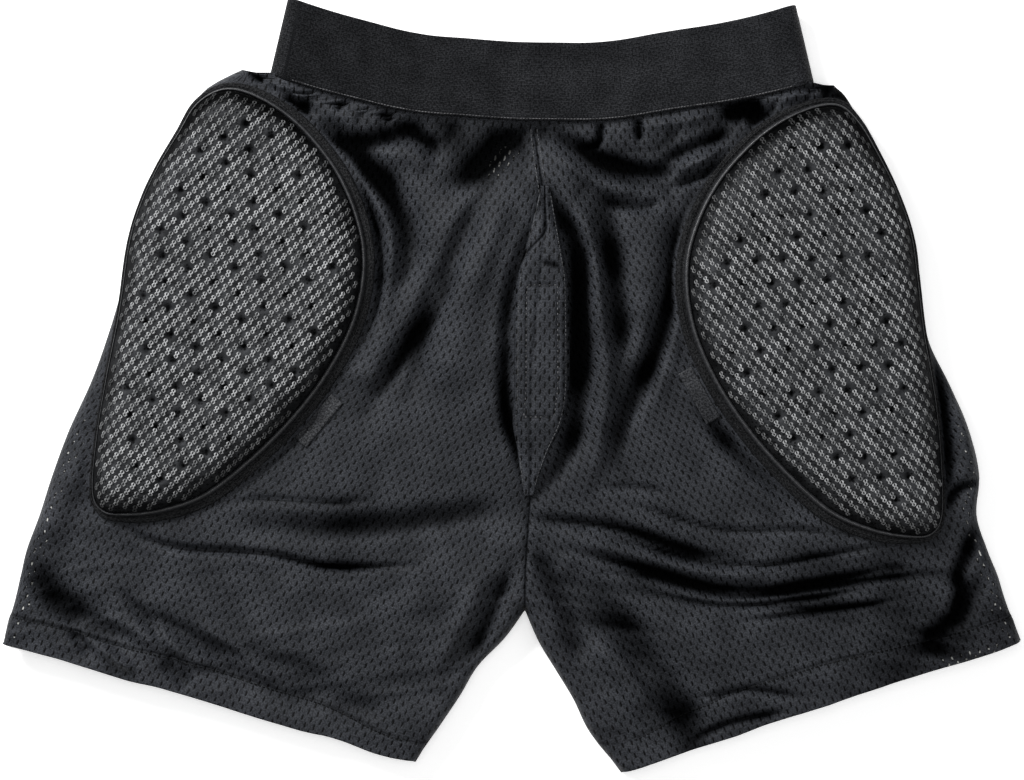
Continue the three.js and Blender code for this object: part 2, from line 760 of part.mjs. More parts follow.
// A small woven label beside the binding on a pad's inner side.
function label(name, spec, rim) {
  const turn = THREE.MathUtils.degToRad(spec.lean);
  const a = spec.label * padLength;
  const target = [
    hipHalf * spec.across + spec.side * (a * Math.sin(turn) - padWidth * Math.cos(turn)),
    -bodyLength * spec.down - a * Math.cos(turn) - padWidth * Math.sin(turn),
  ];
  const distance = (p) => Math.hypot(p[0] - target[0], p[1] - target[1]);
  const i = rim.reduce((best, p, k) => (distance(p) < distance(rim[best]) ? k : best), 0);
  const count = rim.length;
  const [px, py] = rim[(i + count - 1) % count];
  const [nx, ny] = rim[(i + 1) % count];
  const size = Math.hypot(nx - px, ny - py);
  const alongDir = [(nx - px) / size, (ny - py) / size];
  const out = [alongDir[1], -alongDir[0]];
  const sign = inside(rim[i][0] + out[0], rim[i][1] + out[1], rim) ? -1 : 1;
  const gap = restGap + labelWidth * 0.12;
  const corner = (s, d) => [
    rim[i][0] + alongDir[0] * s * labelLength + out[0] * sign * (gap + d * labelWidth),
    rim[i][1] + alongDir[1] * s * labelLength + out[1] * sign * (gap + d * labelWidth),
  ];
  const lower = [];
  const upper = [];
  for (const s of [-0.5, -0.25, 0, 0.25, 0.5]) {
    const line = [0, 0.5, 1].map((d) => {
      const [x, y] = corner(s, d);
      return [x, y, frontUnder(x, y) + clothThickness + restGap];
    });
    lower.push(line);
    upper.push(line.map(([x, y, z]) => [x, y, z + labelThickness]));
  }
  return sheet(name, satin, upper, lower);
}

const garment = new THREE.Group();
garment.add(waistband());
for (const [name, side] of [["left", -1], ["right", 1]]) {
  garment.add(panel(name + "_front_panel", side, true));
  garment.add(panel(name + "_back_panel", side, false));
}
garment.add(placket());
hipPads.forEach((spec, i) => {
  const { outline, tape: widths } = padShapes[i];
  const sizes = { base: restPlane, thickness: padThickness, edge: padEdge, bevel: padBevel };
  garment.add(pad(spec.name + "_hip_pad", outline, sizes));
  garment.add(binding(spec.name + "_hip_pad_binding", outline, widths, restPlane));
  garment.add(label(spec.name + "_label", spec, bindingRims[i]));
});
const tailSizes = { base: 0, thickness: tailThickness, edge: tailEdge, bevel: tailBevel };
garment.add(pad("tailbone_pad", tailShape, tailSizes));
garment.add(binding("tailbone_pad_binding", tailShape, tailShape.map(() => tailTape), 0));

// The origin is on the floor under the middle of the whole garment.
const box = new THREE.Box3().setFromObject(garment);
garment.position.set(-(box.min.x + box.max.x) / 2, -(box.min.y + box.max.y) / 2, -box.min.z);

export default garment;
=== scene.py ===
"""Looks of a pair of padded protective shorts that lie flat on their back.

The shorts are an elastic waistband, four panels of eyelet cloth, a fly placket, two foam
hip pads under spacer mesh with piped bindings, two plain satin labels and a tailbone pad
under the seat. Lengths are metres, X runs to the right and Y towards the waist.
"""

import logging
import math
from dataclasses import dataclass, field
from enum import Enum
from typing import Sequence

import bpy
import numpy as np
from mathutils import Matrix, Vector


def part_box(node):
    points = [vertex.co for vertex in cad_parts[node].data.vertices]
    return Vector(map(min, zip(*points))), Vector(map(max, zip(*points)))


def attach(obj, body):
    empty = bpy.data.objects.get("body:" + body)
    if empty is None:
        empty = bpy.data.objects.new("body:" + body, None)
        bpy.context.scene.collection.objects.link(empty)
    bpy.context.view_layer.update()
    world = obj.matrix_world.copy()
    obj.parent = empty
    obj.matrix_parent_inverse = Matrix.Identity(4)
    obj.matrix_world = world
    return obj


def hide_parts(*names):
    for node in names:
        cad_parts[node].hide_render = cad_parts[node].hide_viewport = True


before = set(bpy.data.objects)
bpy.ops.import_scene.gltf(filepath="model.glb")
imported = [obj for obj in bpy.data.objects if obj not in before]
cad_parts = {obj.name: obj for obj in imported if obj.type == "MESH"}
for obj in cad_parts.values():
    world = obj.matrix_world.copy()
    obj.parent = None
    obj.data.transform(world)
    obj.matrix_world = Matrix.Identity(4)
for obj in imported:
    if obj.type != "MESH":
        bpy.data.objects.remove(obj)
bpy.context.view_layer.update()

LOG = logging.getLogger("shorts")
Array = np.ndarray
Socket = bpy.types.NodeSocket
Colour = tuple[float, float, float, float]
MM = 0.001
WAIST_LINE = float(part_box("waistband")[0][1])  # the middle of the waistband's lower edge


class Side(Enum):
    """A half of the garment, by the sign of its X."""

    LEFT = -1
    RIGHT = 1

    @property
    def label(self) -> str:
        """The half's name, as the nodes have it."""
        return self.name.lower()


class Span(Enum):
    """The half width that a row of the garment's plan is a share of."""

    WAIST = "waist"
    HIP = "hip"
    HEM = "hem"


class FoldForm(Enum):
    """Section of a fold across its line."""

    ROUND = "round"  # a soft trough or crest
    CREASE = "crease"  # a sharp one


def smooth(t: Array | float) -> Array:
    """An S-shaped rise from 0 to 1 over t from 0 to 1."""
    t = np.clip(t, 0.0, 1.0)
    return t * t * (3.0 - 2.0 * t)


def mix(a: Array | float, b: Array | float, t: Array | float) -> Array:
    """The value a share t of the way from a to b."""
    return a + (b - a) * t


def bell(t: Array | float) -> Array:
    """A bump that is 1 high at 0 and dies out past -2 and 2."""
    return np.exp(-(t**2))


def spline(values: Array, places: Array, closed: bool = False) -> Array:
    """Smooth values between the rows of a table.

    Args:
        values: One value, or one point, for each row.
        places: Row numbers, whole at a row and fractions between two.
        closed: Whether the last row joins the first.

    Returns:
        The value at each place.
    """
    count = len(values)
    low = np.floor(places).astype(int)
    if not closed:
        low = np.clip(low, 0, count - 2)
    t = places - low
    if values.ndim > 1:
        t = t[:, None]
    near = low[:, None] + np.arange(-1, 3)
    near = near % count if closed else np.clip(near, 0, count - 1)
    a, b, c, d = (values[i] for i in near.T)
    bend = (2 * a - 5 * b + 4 * c - d) * t**2 + (3 * b - a - 3 * c + d) * t**3
    return 0.5 * (2 * b + (c - a) * t + bend)


def even_line(points: Array, count: int, closed: bool = False) -> Array:
    """Evenly spaced points on a smooth curve.

    Args:
        points: Points that the curve passes through, one a row.
        count: How many points to return.
        closed: Whether the curve joins its own start.

    Returns:
        The points, one a row.
    """
    rows = len(points) if closed else len(points) - 1
    dense = spline(points, np.linspace(0, rows, rows * 24 + 1), closed)
    far = travelled(dense[:, :2])
    wanted = np.linspace(0, far[-1], count, endpoint=not closed)
    return np.stack([np.interp(wanted, far, axis) for axis in dense.T], axis=1)


def to_line(x: Array, y: Array, line: Array) -> tuple[Array, Array]:
    """Distance of places from a line of points.

    Args:
        x: Places across.
        y: Places along.
        line: The line's points, one a row.

    Returns:
        The distance, above zero on the line's left and below zero on its right, and how far
        along the line the nearest point is, from 0 to 1.
    """
    best = np.full(x.shape, np.inf)
    signed = np.zeros(x.shape)
    along = np.zeros(x.shape)
    for i, ((ax, ay), (bx, by)) in enumerate(zip(line[:-1], line[1:])):
        dx, dy = bx - ax, by - ay
        t = np.clip(((x - ax) * dx + (y - ay) * dy) / (dx * dx + dy * dy), 0, 1)
        ox, oy = x - ax - t * dx, y - ay - t * dy
        d = ox * ox + oy * oy
        near = d < best
        best = np.where(near, d, best)
        signed = np.where(near, np.sqrt(d) * np.where(dx * oy - dy * ox < 0, -1, 1), signed)
        along = np.where(near, (i + t) / (len(line) - 1), along)
    return signed, along


def outside(x: Array, y: Array, outline: Array) -> Array:
    """Distance outside a closed outline, below zero inside it.

    Args:
        x: Places across.
        y: Places along.
        outline: The outline's points, one a row.

    Returns:
        The distance of each place.
    """
    odd = np.zeros(x.shape, bool)
    for (ax, ay), (bx, by) in zip(outline, np.roll(outline, -1, axis=0)):
        if ay != by:
            crosses = ((ay > y) != (by > y)) & (x < ax + (y - ay) / (by - ay) * (bx - ax))
            odd ^= crosses
    distance = np.abs(to_line(x, y, np.vstack([outline, outline[:1]]))[0])
    return np.where(odd, -distance, distance)


def grown(outline: Array, distances: Array | float) -> Array:
    """Points moved square to a closed outline, outwards.

    Args:
        outline: The outline's points, one a row.
        distances: How far each point moves.

    Returns:
        The moved points.
    """
    nxt = np.roll(outline, -1, axis=0)
    area = np.sum(outline[:, 0] * nxt[:, 1] - nxt[:, 0] * outline[:, 1])
    chord = nxt - np.roll(outline, 1, axis=0)
    chord /= np.hypot(chord[:, 0], chord[:, 1])[:, None]
    square = np.stack([chord[:, 1], -chord[:, 0]], axis=1) * np.sign(area)
    return outline + square * np.broadcast_to(distances, len(outline))[:, None]


def noise(x: Array, y: Array, size: float, seed: int) -> Array:
    """Smooth unevenness between -1 and 1.

    Args:
        x: Places across.
        y: Places along.
        size: Distance between its bumps.
        seed: Number that settles the pattern.

    Returns:
        The height at each place.
    """
    cells = 64
    table = np.random.default_rng(seed).uniform(-1, 1, (cells, cells))
    u, v = x / size, y / size
    i, j = np.floor(u).astype(int), np.floor(v).astype(int)
    fu, fv = u - i, v - j
    fu, fv = fu**3 * (fu * (6 * fu - 15) + 10), fv**3 * (fv * (6 * fv - 15) + 10)
    near, far = ([table[(i + a) % cells, (j + b) % cells] for a in (0, 1)] for b in (0, 1))
    return mix(mix(*near, fu), mix(*far, fu), fv)


def quads(index: Array) -> Array:
    """The four-sided faces of a grid of vertex numbers."""
    corners = [index[:-1, :-1], index[:-1, 1:], index[1:, 1:], index[1:, :-1]]
    return np.stack([c.ravel() for c in corners], axis=1)


def near_line(x: Array, y: Array, line: Array, reach: float) -> Array:
    """Which places lie in the box round a line, grown by a reach."""
    low, high = line.min(axis=0) - reach, line.max(axis=0) + reach
    return (x > low[0]) & (x < high[0]) & (y > low[1]) & (y < high[1])


def rim_of(index: Array) -> Array:
    """The vertex numbers round the edge of a grid."""
    return np.concatenate([index[0], index[1:, -1], index[-1, -2::-1], index[-2:0:-1, 0]])


def ring_weave(around: Array, across: Array) -> Array:
    """The layer weave of a ring: millimetres along it, and across it for each of its rows."""
    across = np.broadcast_to(across, (len(around), np.shape(across)[-1]))
    around = np.broadcast_to(around[:, None], across.shape)
    return np.stack([around, across, 0 * across], axis=-1).reshape(-1, 3)


def travelled(points: Array, closed: bool = False) -> Array:
    """Distance along a line at each point: from its start, or on a ring up to the next point."""
    if closed:
        return np.cumsum(np.hypot(*(np.diff(points, axis=0, append=points[:1]).T)))
    return np.concatenate([[0.0], np.cumsum(np.linalg.norm(np.diff(points, axis=0), axis=1))])


@dataclass
class Shape:
    """Vertices and faces of a mesh, before Blender has it.

    Attributes:
        vertices: Points, one a row.
        faces: Lists of vertex numbers, grouped by how many sides they have.
        layers: Named values at each vertex, numbers or vectors, that the finishes read.
    """

    vertices: Array
    faces: list[Array]
    layers: dict[str, Array] = field(default_factory=dict)

    def volume(self) -> float:
        """Signed volume, above zero where the faces point out."""
        total = 0.0
        for faces in self.faces:
            a = self.vertices[faces[:, 0]]
            for k in range(1, faces.shape[1] - 1):
                b, c = self.vertices[faces[:, k]], self.vertices[faces[:, k + 1]]
                total += float(np.einsum("ij,ij->", a, np.cross(b, c)))
        return total

    def build(self, name: str) -> bpy.types.Object:
        """Makes the Blender object.

        Args:
            name: Name of the piece.

        Returns:
            The object, linked to the scene, with smooth faces that point out.
        """
        turned = self.faces if self.volume() > 0 else [f[:, ::-1] for f in self.faces]
        mesh = bpy.data.meshes.new(name)
        mesh.from_pydata(self.vertices.tolist(), [], [f for group in turned for f in group.tolist()])
        for layer, values in self.layers.items():
            if values.ndim > 1:
                attribute = mesh.attributes.new(layer, "FLOAT_VECTOR", "POINT")
                attribute.data.foreach_set("vector", values.astype(np.float32).ravel())
            else:
                attribute = mesh.attributes.new(layer, "FLOAT", "POINT")
                attribute.data.foreach_set("value", values.astype(np.float32))
        mesh.shade_smooth()
        piece = bpy.data.objects.new(name, mesh)
        bpy.context.scene.collection.objects.link(piece)
        return piece


def slab(upper: Array, lower: Array) -> Shape:
    """A closed sheet between a grid of upper points and one of lower points."""
    rows, columns = upper.shape[:2]
    count = rows * columns
    index = np.arange(count).reshape(rows, columns)
    rim = rim_of(index)
    nxt = np.roll(rim, -1)
    wall = np.stack([rim, rim + count, nxt + count, nxt], axis=1)
    faces = np.concatenate([quads(index), quads(index + count)[:, ::-1], wall])
    vertices = np.concatenate([upper.reshape(-1, 3), lower.reshape(-1, 3)])
    return Shape(vertices, [faces])


def hoop(sections: Array) -> Shape:
    """A closed ring through equal closed sections, shaped (sections, points, 3)."""
    count, points = sections.shape[:2]
    index = np.arange(count * points).reshape(count, points)
    index = np.concatenate([index, index[:1]], axis=0)
    index = np.concatenate([index, index[:, :1]], axis=1)
    return Shape(sections.reshape(-1, 3), [quads(index)])


def strand(path: Array, radius: Array, sides: int) -> Shape:
    """A round thread along a path, closed at both ends.

    Args:
        path: Points of its middle, one a row, that run roughly along X.
        radius: Its radius at each point.
        sides: Number of sides of its section.

    Returns:
        The thread.
    """
    turn = math.tau * np.arange(sides) / sides
    ring = np.stack([np.zeros(sides), np.cos(turn), np.sin(turn)], axis=1)
    vertices = (path[:, None, :] + ring[None] * radius[:, None, None]).reshape(-1, 3)
    index = np.arange(len(path) * sides).reshape(len(path), sides)
    index = np.concatenate([index, index[:, :1]], axis=1)
    ends = np.stack([index[0, :-1], index[-1, -2::-1]])
    return Shape(vertices, [quads(index), ends])


def joined(shapes: Sequence[Shape]) -> Shape:
    """Several shapes as one."""
    starts = np.cumsum([0] + [len(s.vertices) for s in shapes[:-1]])
    faces = [group + start for s, start in zip(shapes, starts) for group in s.faces]
    return Shape(np.concatenate([s.vertices for s in shapes]), faces)


def repeated(shape: Shape, centres: Array, along: Array, up: Array) -> Shape:
    """Copies of a shape as one mesh.

    Args:
        shape: The shape, about its own origin.
        centres: Where each copy's origin goes.
        along: Direction of each copy's X, with its length as the scale along X.
        up: Direction of each copy's Z.

    Returns:
        All the copies.
    """
    count, size = len(centres), len(shape.vertices)
    z = up / np.linalg.norm(up, axis=1)[:, None]
    y = np.cross(z, along)
    y /= np.linalg.norm(y, axis=1)[:, None]
    frames = np.stack([along, y, z], axis=1)
    vertices = np.einsum("vk,nkj->nvj", shape.vertices, frames) + centres[:, None, :]
    starts = (np.arange(count) * size)[:, None, None]
    faces = [(group[None] + starts).reshape(-1, group.shape[1]) for group in shape.faces]
    return Shape(vertices.reshape(-1, 3), faces)


class Nodes:
    """Adds nodes to one material and links them."""

    def __init__(self, name: str) -> None:
        """Starts a material with a shader and an output."""
        self.material = bpy.data.materials.new(name)
        self.material.use_nodes = True
        self.tree = self.material.node_tree
        self.shader = self.tree.nodes["Principled BSDF"]

    def add(self, kind: str, inputs: dict | None = None, **settings: object) -> bpy.types.Node:
        """Adds a node.

        Args:
            kind: Its Blender type, without the ShaderNode prefix.
            inputs: Values or sockets for its inputs, by name or number.
            settings: Its own properties.

        Returns:
            The node.
        """
        node = self.tree.nodes.new("ShaderNode" + kind)
        for key, value in settings.items():
            setattr(node, key, value)
        for key, value in (inputs or {}).items():
            self.put(node.inputs[key], value)
        return node

    def put(self, socket: Socket, value: object) -> None:
        """Links a socket to an input, or sets the input to a plain value."""
        if isinstance(value, Socket):
            self.tree.links.new(value, socket)
        else:
            socket.default_value = value

    def math(self, operation: str, *values: object) -> Socket:
        """The result of a Math node."""
        return self.add("Math", dict(enumerate(values)), operation=operation).outputs[0]

    def plus(self, a: object, b: object) -> Socket:
        """The sum of two values."""
        return self.math("ADD", a, b)

    def minus(self, a: object, b: object) -> Socket:
        """The difference of two values."""
        return self.math("SUBTRACT", a, b)

    def times(self, a: object, b: object) -> Socket:
        """The product of two values."""
        return self.math("MULTIPLY", a, b)

    def over(self, a: object, b: object) -> Socket:
        """A value divided by another."""
        return self.math("DIVIDE", a, b)

    def wave(self, place: object, length: float) -> Socket:
        """A sine with a wave length."""
        return self.math("SINE", self.times(place, math.tau / length))

    def layer(self, name: str, output: str = "Vector") -> Socket:
        """A value that the mesh holds at its vertices."""
        return self.add("Attribute", attribute_name=name, attribute_type="GEOMETRY").outputs[output]

    def step(
        self, value: object, low: float, high: float, a: float = 0, b: float = 1
    ) -> Socket:
        """A smooth rise from a to b as the value goes from low to high."""
        inputs = {"Value": value, "From Min": low, "From Max": high, "To Min": a, "To Max": b}
        return self.add("MapRange", inputs, interpolation_type="SMOOTHSTEP").outputs["Result"]

    def blend(self, share: object, a: object, b: object) -> Socket:
        """A colour that goes from a to b."""
        node = self.add("Mix", data_type="RGBA")
        self.put(node.inputs[0], share)
        self.put(node.inputs[6], a)
        self.put(node.inputs[7], b)
        return node.outputs[2]

    def shade(self, colour: object, by: object) -> Socket:
        """A colour made darker by a factor."""
        node = self.add("Mix", data_type="RGBA", blend_type="MULTIPLY")
        node.inputs[0].default_value = 1.0
        self.put(node.inputs[6], colour)
        grey = self.add("CombineColor", {0: by, 1: by, 2: by}).outputs[0]
        self.put(node.inputs[7], grey)
        return node.outputs[2]

    def painted_shading(self, deepest: float) -> Socket:
        """Share of the colour that is left under the painted shade of the mesh's painted shading."""
        return self.step(self.layer("painted_shading", "Fac"), 0.0, 1.0, 1.0, deepest)

    def noise(self, vector: object, scale: float, detail: float = 2) -> Socket:
        """Uneven values about 0.5."""
        inputs = {"Vector": vector, "Scale": scale, "Detail": detail}
        return self.add("TexNoise", inputs).outputs["Fac"]

    def bump(self, height: object, distance: float, strength: float = 1.0) -> None:
        """Gives the shader a relief that stands up by a distance."""
        inputs = {"Height": height, "Distance": distance, "Strength": strength}
        self.put(self.shader.inputs["Normal"], self.add("Bump", inputs).outputs[0])

    def finish(
        self, colour: object, roughness: object, sheen: float = 0.0, gloss: object = 0.5
    ) -> bpy.types.Material:
        """Sets the shader's main values.

        Args:
            colour: Base colour, or a socket.
            roughness: Roughness, or a socket.
            sheen: Weight of the soft light at grazing angles.
            gloss: Specular level, or a socket.

        Returns:
            The material.
        """
        self.put(self.shader.inputs["Base Color"], colour)
        self.put(self.shader.inputs["Roughness"], roughness)
        self.shader.inputs["Sheen Weight"].default_value = sheen
        self.shader.inputs["Sheen Roughness"].default_value = 0.4
        self.put(self.shader.inputs["Specular IOR Level"], gloss)
        return self.material


@dataclass(frozen=True)
class EyeletCloth:
    """Fine knitted cloth with small slit eyelets in staggered rows.

    Reads the layers weave, the cloth's own place in millimetres, the painted shading, which darkens
    folds and seams as painted shade and lightens crests as a painted highlight, and see_through,
    how far the ground shows through the eyelets.
    """

    name: str = "eyelet_cloth"
    colour: Colour = (0.0185, 0.02, 0.0235, 1)
    worn: Colour = (0.03, 0.0322, 0.0375, 1)
    dark: Colour = (0.001, 0.001, 0.0012, 1)
    floor: Colour = (0.5, 0.5, 0.48, 1)  # pale ground that shows through some eyelets
    pitch: float = 5.6
    row_step: float = 4.0
    slit_half_width: float = 0.5
    slit_half_length: float = 1.6
    slit_lean: float = 0.1
    knit_pitch: float = 0.62
    relief: float = 0.3 * MM
    deepest: float = 0.03  # painted shade: what is left of the colour deep in a fold
    crest: float = 1.75  # painted highlight: how much lighter the crest of a fold is painted

    def material(self) -> bpy.types.Material:
        """Builds the finish."""
        n = Nodes(self.name)
        place = n.layer("weave")
        wander = n.add("VectorMath", {0: n.add("TexNoise", {"Vector": place, "Scale": 0.35}).outputs["Color"],
                                      1: (0.5, 0.5, 0.5)}, operation="SUBTRACT").outputs[0]
        moved = n.add("VectorMath", {0: wander, 1: (1.1, 1.1, 0), 2: place}, operation="MULTIPLY_ADD")
        axes = n.add("SeparateXYZ", {0: moved.outputs[0]}).outputs
        row = n.over(axes[1], self.row_step)
        odd = n.times(n.math("MODULO", n.math("ABSOLUTE", n.math("FLOOR", row)), 2.0), 0.5)
        across = n.plus(n.over(axes[0], self.pitch), odd)
        cell_x = n.times(n.minus(n.math("FRACT", across), 0.5), self.pitch)
        cell_y = n.times(n.minus(n.math("FRACT", row), 0.5), self.row_step)
        slit_x = n.over(n.minus(cell_x, n.times(cell_y, self.slit_lean)), self.slit_half_width)
        slit_y = n.over(cell_y, self.slit_half_length)
        reach = n.plus(n.math("POWER", n.math("ABSOLUTE", slit_x), 2.0),
                       n.math("POWER", n.math("ABSOLUTE", slit_y), 3.0))
        slit = n.step(reach, 0.6, 1.5, 1, 0)
        knit = n.times(n.plus(n.wave(axes[0], self.knit_pitch), n.wave(axes[1], 1.3 * self.knit_pitch)), 0.1)
        height = n.plus(knit, n.step(reach, 0.6, 3.2))
        n.bump(height, self.relief, 0.9)
        uneven = n.step(n.noise(place, 0.045, 4), 0.35, 0.7)
        base = n.blend(uneven, self.colour, self.worn)
        fleck = n.step(n.noise(place, 0.95, 3), 0.36, 0.64, 0.6, 1.55)
        pale = n.step(n.plus(n.noise(place, 0.45, 1), n.layer("see_through", "Fac")), 0.95, 1.15)
        through = n.blend(pale, self.dark, self.floor)
        cloth = n.blend(slit, n.shade(base, fleck), through)
        # Painted shade in folds and seams, and a painted highlight on crests, from the painted shading; the
        # gloss is dimmed with it.
        crest = n.step(n.layer("painted_shading", "Fac"), -0.8, 0.0, self.crest, 1.0)
        light = n.times(n.painted_shading(self.deepest), crest)
        rough = n.step(n.noise(place, 0.8), 0.3, 0.7, 0.5, 0.66)
        return n.finish(n.shade(cloth, light), rough, sheen=0.01, gloss=n.times(light, 0.11))


@dataclass(frozen=True)
class SpacerMesh:
    """The dark open ground of a spacer mesh over foam. Reads weave, and the painted shading as painted shade.
    """

    name: str = "spacer_mesh_ground"
    colour: Colour = (0.009, 0.0096, 0.0108, 1)
    thread: Colour = (0.034, 0.0357, 0.0388, 1)
    dark: Colour = (0.001, 0.001, 0.0012, 1)
    hole_pitch: float = 2.3

    def material(self) -> bpy.types.Material:
        """Builds the finish."""
        n = Nodes(self.name)
        place = n.layer("weave")
        cells = n.add("TexVoronoi", {"Vector": place, "Scale": 1 / self.hole_pitch, "Randomness": 0.35})
        hole = n.step(cells.outputs["Distance"], 0.16, 0.42, 1, 0)
        tone = n.step(n.noise(place, 0.12, 3), 0.3, 0.72)
        ground = n.blend(tone, self.colour, self.thread)
        fine = n.step(n.noise(place, 2.4, 1), 0.3, 0.7, 0.6, 1.25)
        pierced = n.blend(n.times(hole, 0.85), n.shade(ground, fine), self.dark)
        n.bump(n.minus(1.0, hole), 0.5 * MM, 0.8)
        # Painted shade from the painted shading, which dims the gloss too.
        light = n.painted_shading(0.06)
        return n.finish(n.shade(pierced, light), 0.7, sheen=0.01, gloss=n.times(light, 0.12))


@dataclass(frozen=True)
class Yarn:
    """Twisted yarn or thread, plain or with a slight shine."""

    name: str
    colour: Colour
    lit: Colour
    roughness: float = 0.5
    gloss: float = 0.3
    twist: float = 900.0

    def material(self) -> bpy.types.Material:
        """Builds the finish."""
        n = Nodes(self.name)
        place = n.add("TexCoord").outputs["Object"]
        ply = n.add("TexWave", {"Vector": place, "Scale": self.twist, "Distortion": 2.0},
                    wave_type="BANDS", bands_direction="DIAGONAL").outputs["Fac"]
        n.bump(ply, 0.08 * MM, 0.5)
        tone = n.step(n.noise(place, 140.0, 3), 0.3, 0.7)
        # Painted shade from the painted shading, where the piece holds it; it dims the gloss too.
        light = n.painted_shading(0.12)
        yarn = n.shade(n.blend(tone, self.colour, self.lit), light)
        return n.finish(yarn, self.roughness, gloss=n.times(light, self.gloss))


@dataclass(frozen=True)
class WovenTape:
    """Ribbed woven tape or elastic.

    Reads the layer weave, the distance along the tape and across it in millimetres, and the
    painted shading, which darkens it as painted shade.
    """

    name: str
    colour: Colour
    lit: Colour
    rib: float = 1.1  # from one rib across the tape to the next
    pick: float = 0.7
    roughness: float = 0.6
    relief: float = 0.12 * MM
    sheen: float = 0.02

    def material(self) -> bpy.types.Material:
        """Builds the finish."""
        n = Nodes(self.name)
        place = n.layer("weave")
        axes = n.add("SeparateXYZ", {0: place}).outputs
        ribs = n.wave(axes[1], self.rib)
        shift = n.times(n.math("FLOOR", n.over(axes[1], self.rib)), math.pi)
        along = n.plus(n.times(axes[0], math.tau / self.pick), shift)
        picks = n.math("SINE", along)
        height = n.plus(n.times(ribs, 0.5), n.times(picks, 0.35))
        n.bump(height, self.relief, 0.8)
        thread = n.step(n.times(ribs, picks), -0.8, 0.9)
        uneven = n.step(n.noise(place, 0.06, 4), 0.3, 0.75, 0.75, 1.2)
        fleck = n.step(n.noise(place, 0.9, 3), 0.37, 0.63, 0.5, 1.6)
        # Tone that differs at random, times the painted shade of the painted shading; the gloss is dimmed
        # with it.
        light = n.times(n.times(uneven, fleck), n.painted_shading(0.15))
        colour = n.shade(n.blend(thread, self.colour, self.lit), light)
        gloss = n.times(light, 0.1)
        return n.finish(colour, self.roughness, sheen=self.sheen, gloss=gloss)


@dataclass(frozen=True)
class Piping:
    """Smooth cord covered in glossy bias tape."""

    name: str = "piping"
    colour: Colour = (0.012, 0.0125, 0.014, 1)
    lit: Colour = (0.03, 0.031, 0.034, 1)

    def material(self) -> bpy.types.Material:
        """Builds the finish."""
        n = Nodes(self.name)
        place = n.layer("weave")
        axes = n.add("SeparateXYZ", {0: place}).outputs
        n.bump(n.wave(n.plus(axes[0], axes[1]), 0.9), 0.07 * MM, 0.5)
        tone = n.step(n.noise(place, 0.4, 3), 0.3, 0.7)
        rough = n.step(n.noise(place, 0.9, 2), 0.3, 0.7, 0.3, 0.45)
        return n.finish(n.blend(tone, self.colour, self.lit), rough, gloss=0.5)


@dataclass(frozen=True)
class Row:
    """A row across one half of the garment, by shares of its main sizes.

    Attributes:
        of: The half width that half is a share of.
        half: Half width of the row.
        centre: The row's middle, a share of the waistband's shift.
        out: Distance down at the side, a share of the body's length.
        seam: Place of the centre seam, a share of half the hip width.
        inner: Distance down at the middle, a share of the body's length.
        rise: How far the side rises with the waistband's bow.
        bow: How strongly the row curves.
        legs: Left and right inner end, then left and right distance down, below the crotch.
    """

    of: Span
    half: float
    centre: float
    out: float
    seam: float = 0.0
    inner: float = 0.0
    rise: float = 0.0
    bow: float = 1.0
    legs: tuple[float, float, float, float] | None = None


ROWS = (
    Row(Span.WAIST, 1.09, 0.87, 0, 0.055, 0.017, 1, 2),
    Row(Span.HIP, 0.8, 0.43, 0, 0.06, 0.036, 0.66, 2),
    Row(Span.HIP, 0.845, 0.33, 0, 0.067, 0.07, 0.05, 1.8),
    Row(Span.HIP, 0.893, 0.32, 0.043, 0.077, 0.109, 0, 1.5),
    Row(Span.HIP, 0.944, 0.3, 0.104, 0.082, 0.163, 0, 1.4),
    Row(Span.HIP, 0.985, 0.31, 0.181, 0.073, 0.227, 0, 1.3),
    Row(Span.HIP, 1, 0.3, 0.258, 0.062, 0.296, 0, 1.2),
    Row(Span.HIP, 1.027, 0.18, 0.334, 0.052, 0.368, 0, 1.1),
    Row(Span.HIP, 1.074, 0.26, 0.403, 0.047, 0.439, 0, 1),
    Row(Span.HEM, 0.885, 0.23, 0.472, 0.045, 0.506, 0, 1),
    Row(Span.HEM, 0.912, 0.13, 0.541, 0.045, 0.575, 0, 1),
    Row(Span.HEM, 0.922, -0.13, 0.603, 0.037, 0.649, 0, 1),
    Row(Span.HEM, 0.945, -0.17, 0.656, 0.032, 0.71, 0, 1),
    Row(Span.HEM, 0.961, -0.1, 0.695, 0.032, 0.752, 0, 1),
    Row(Span.HEM, 0.971, -0.07, 0.725, legs=(-0.017, 0.065, 0.794, 0.799)),
    Row(Span.HEM, 0.98, -0.05, 0.748, legs=(-0.084, 0.109, 0.837, 0.844)),
    Row(Span.HEM, 0.986, -0.04, 0.76, legs=(-0.129, 0.152, 0.883, 0.888)),
    Row(Span.HEM, 0.99, -0.03, 0.769, legs=(-0.179, 0.194, 0.929, 0.94)),
    Row(Span.HEM, 1, 0, 0.799, legs=(-0.241, 0.273, 0.985, 1)),
)
CROTCH_ROW = 13
HEM_ROW = 17


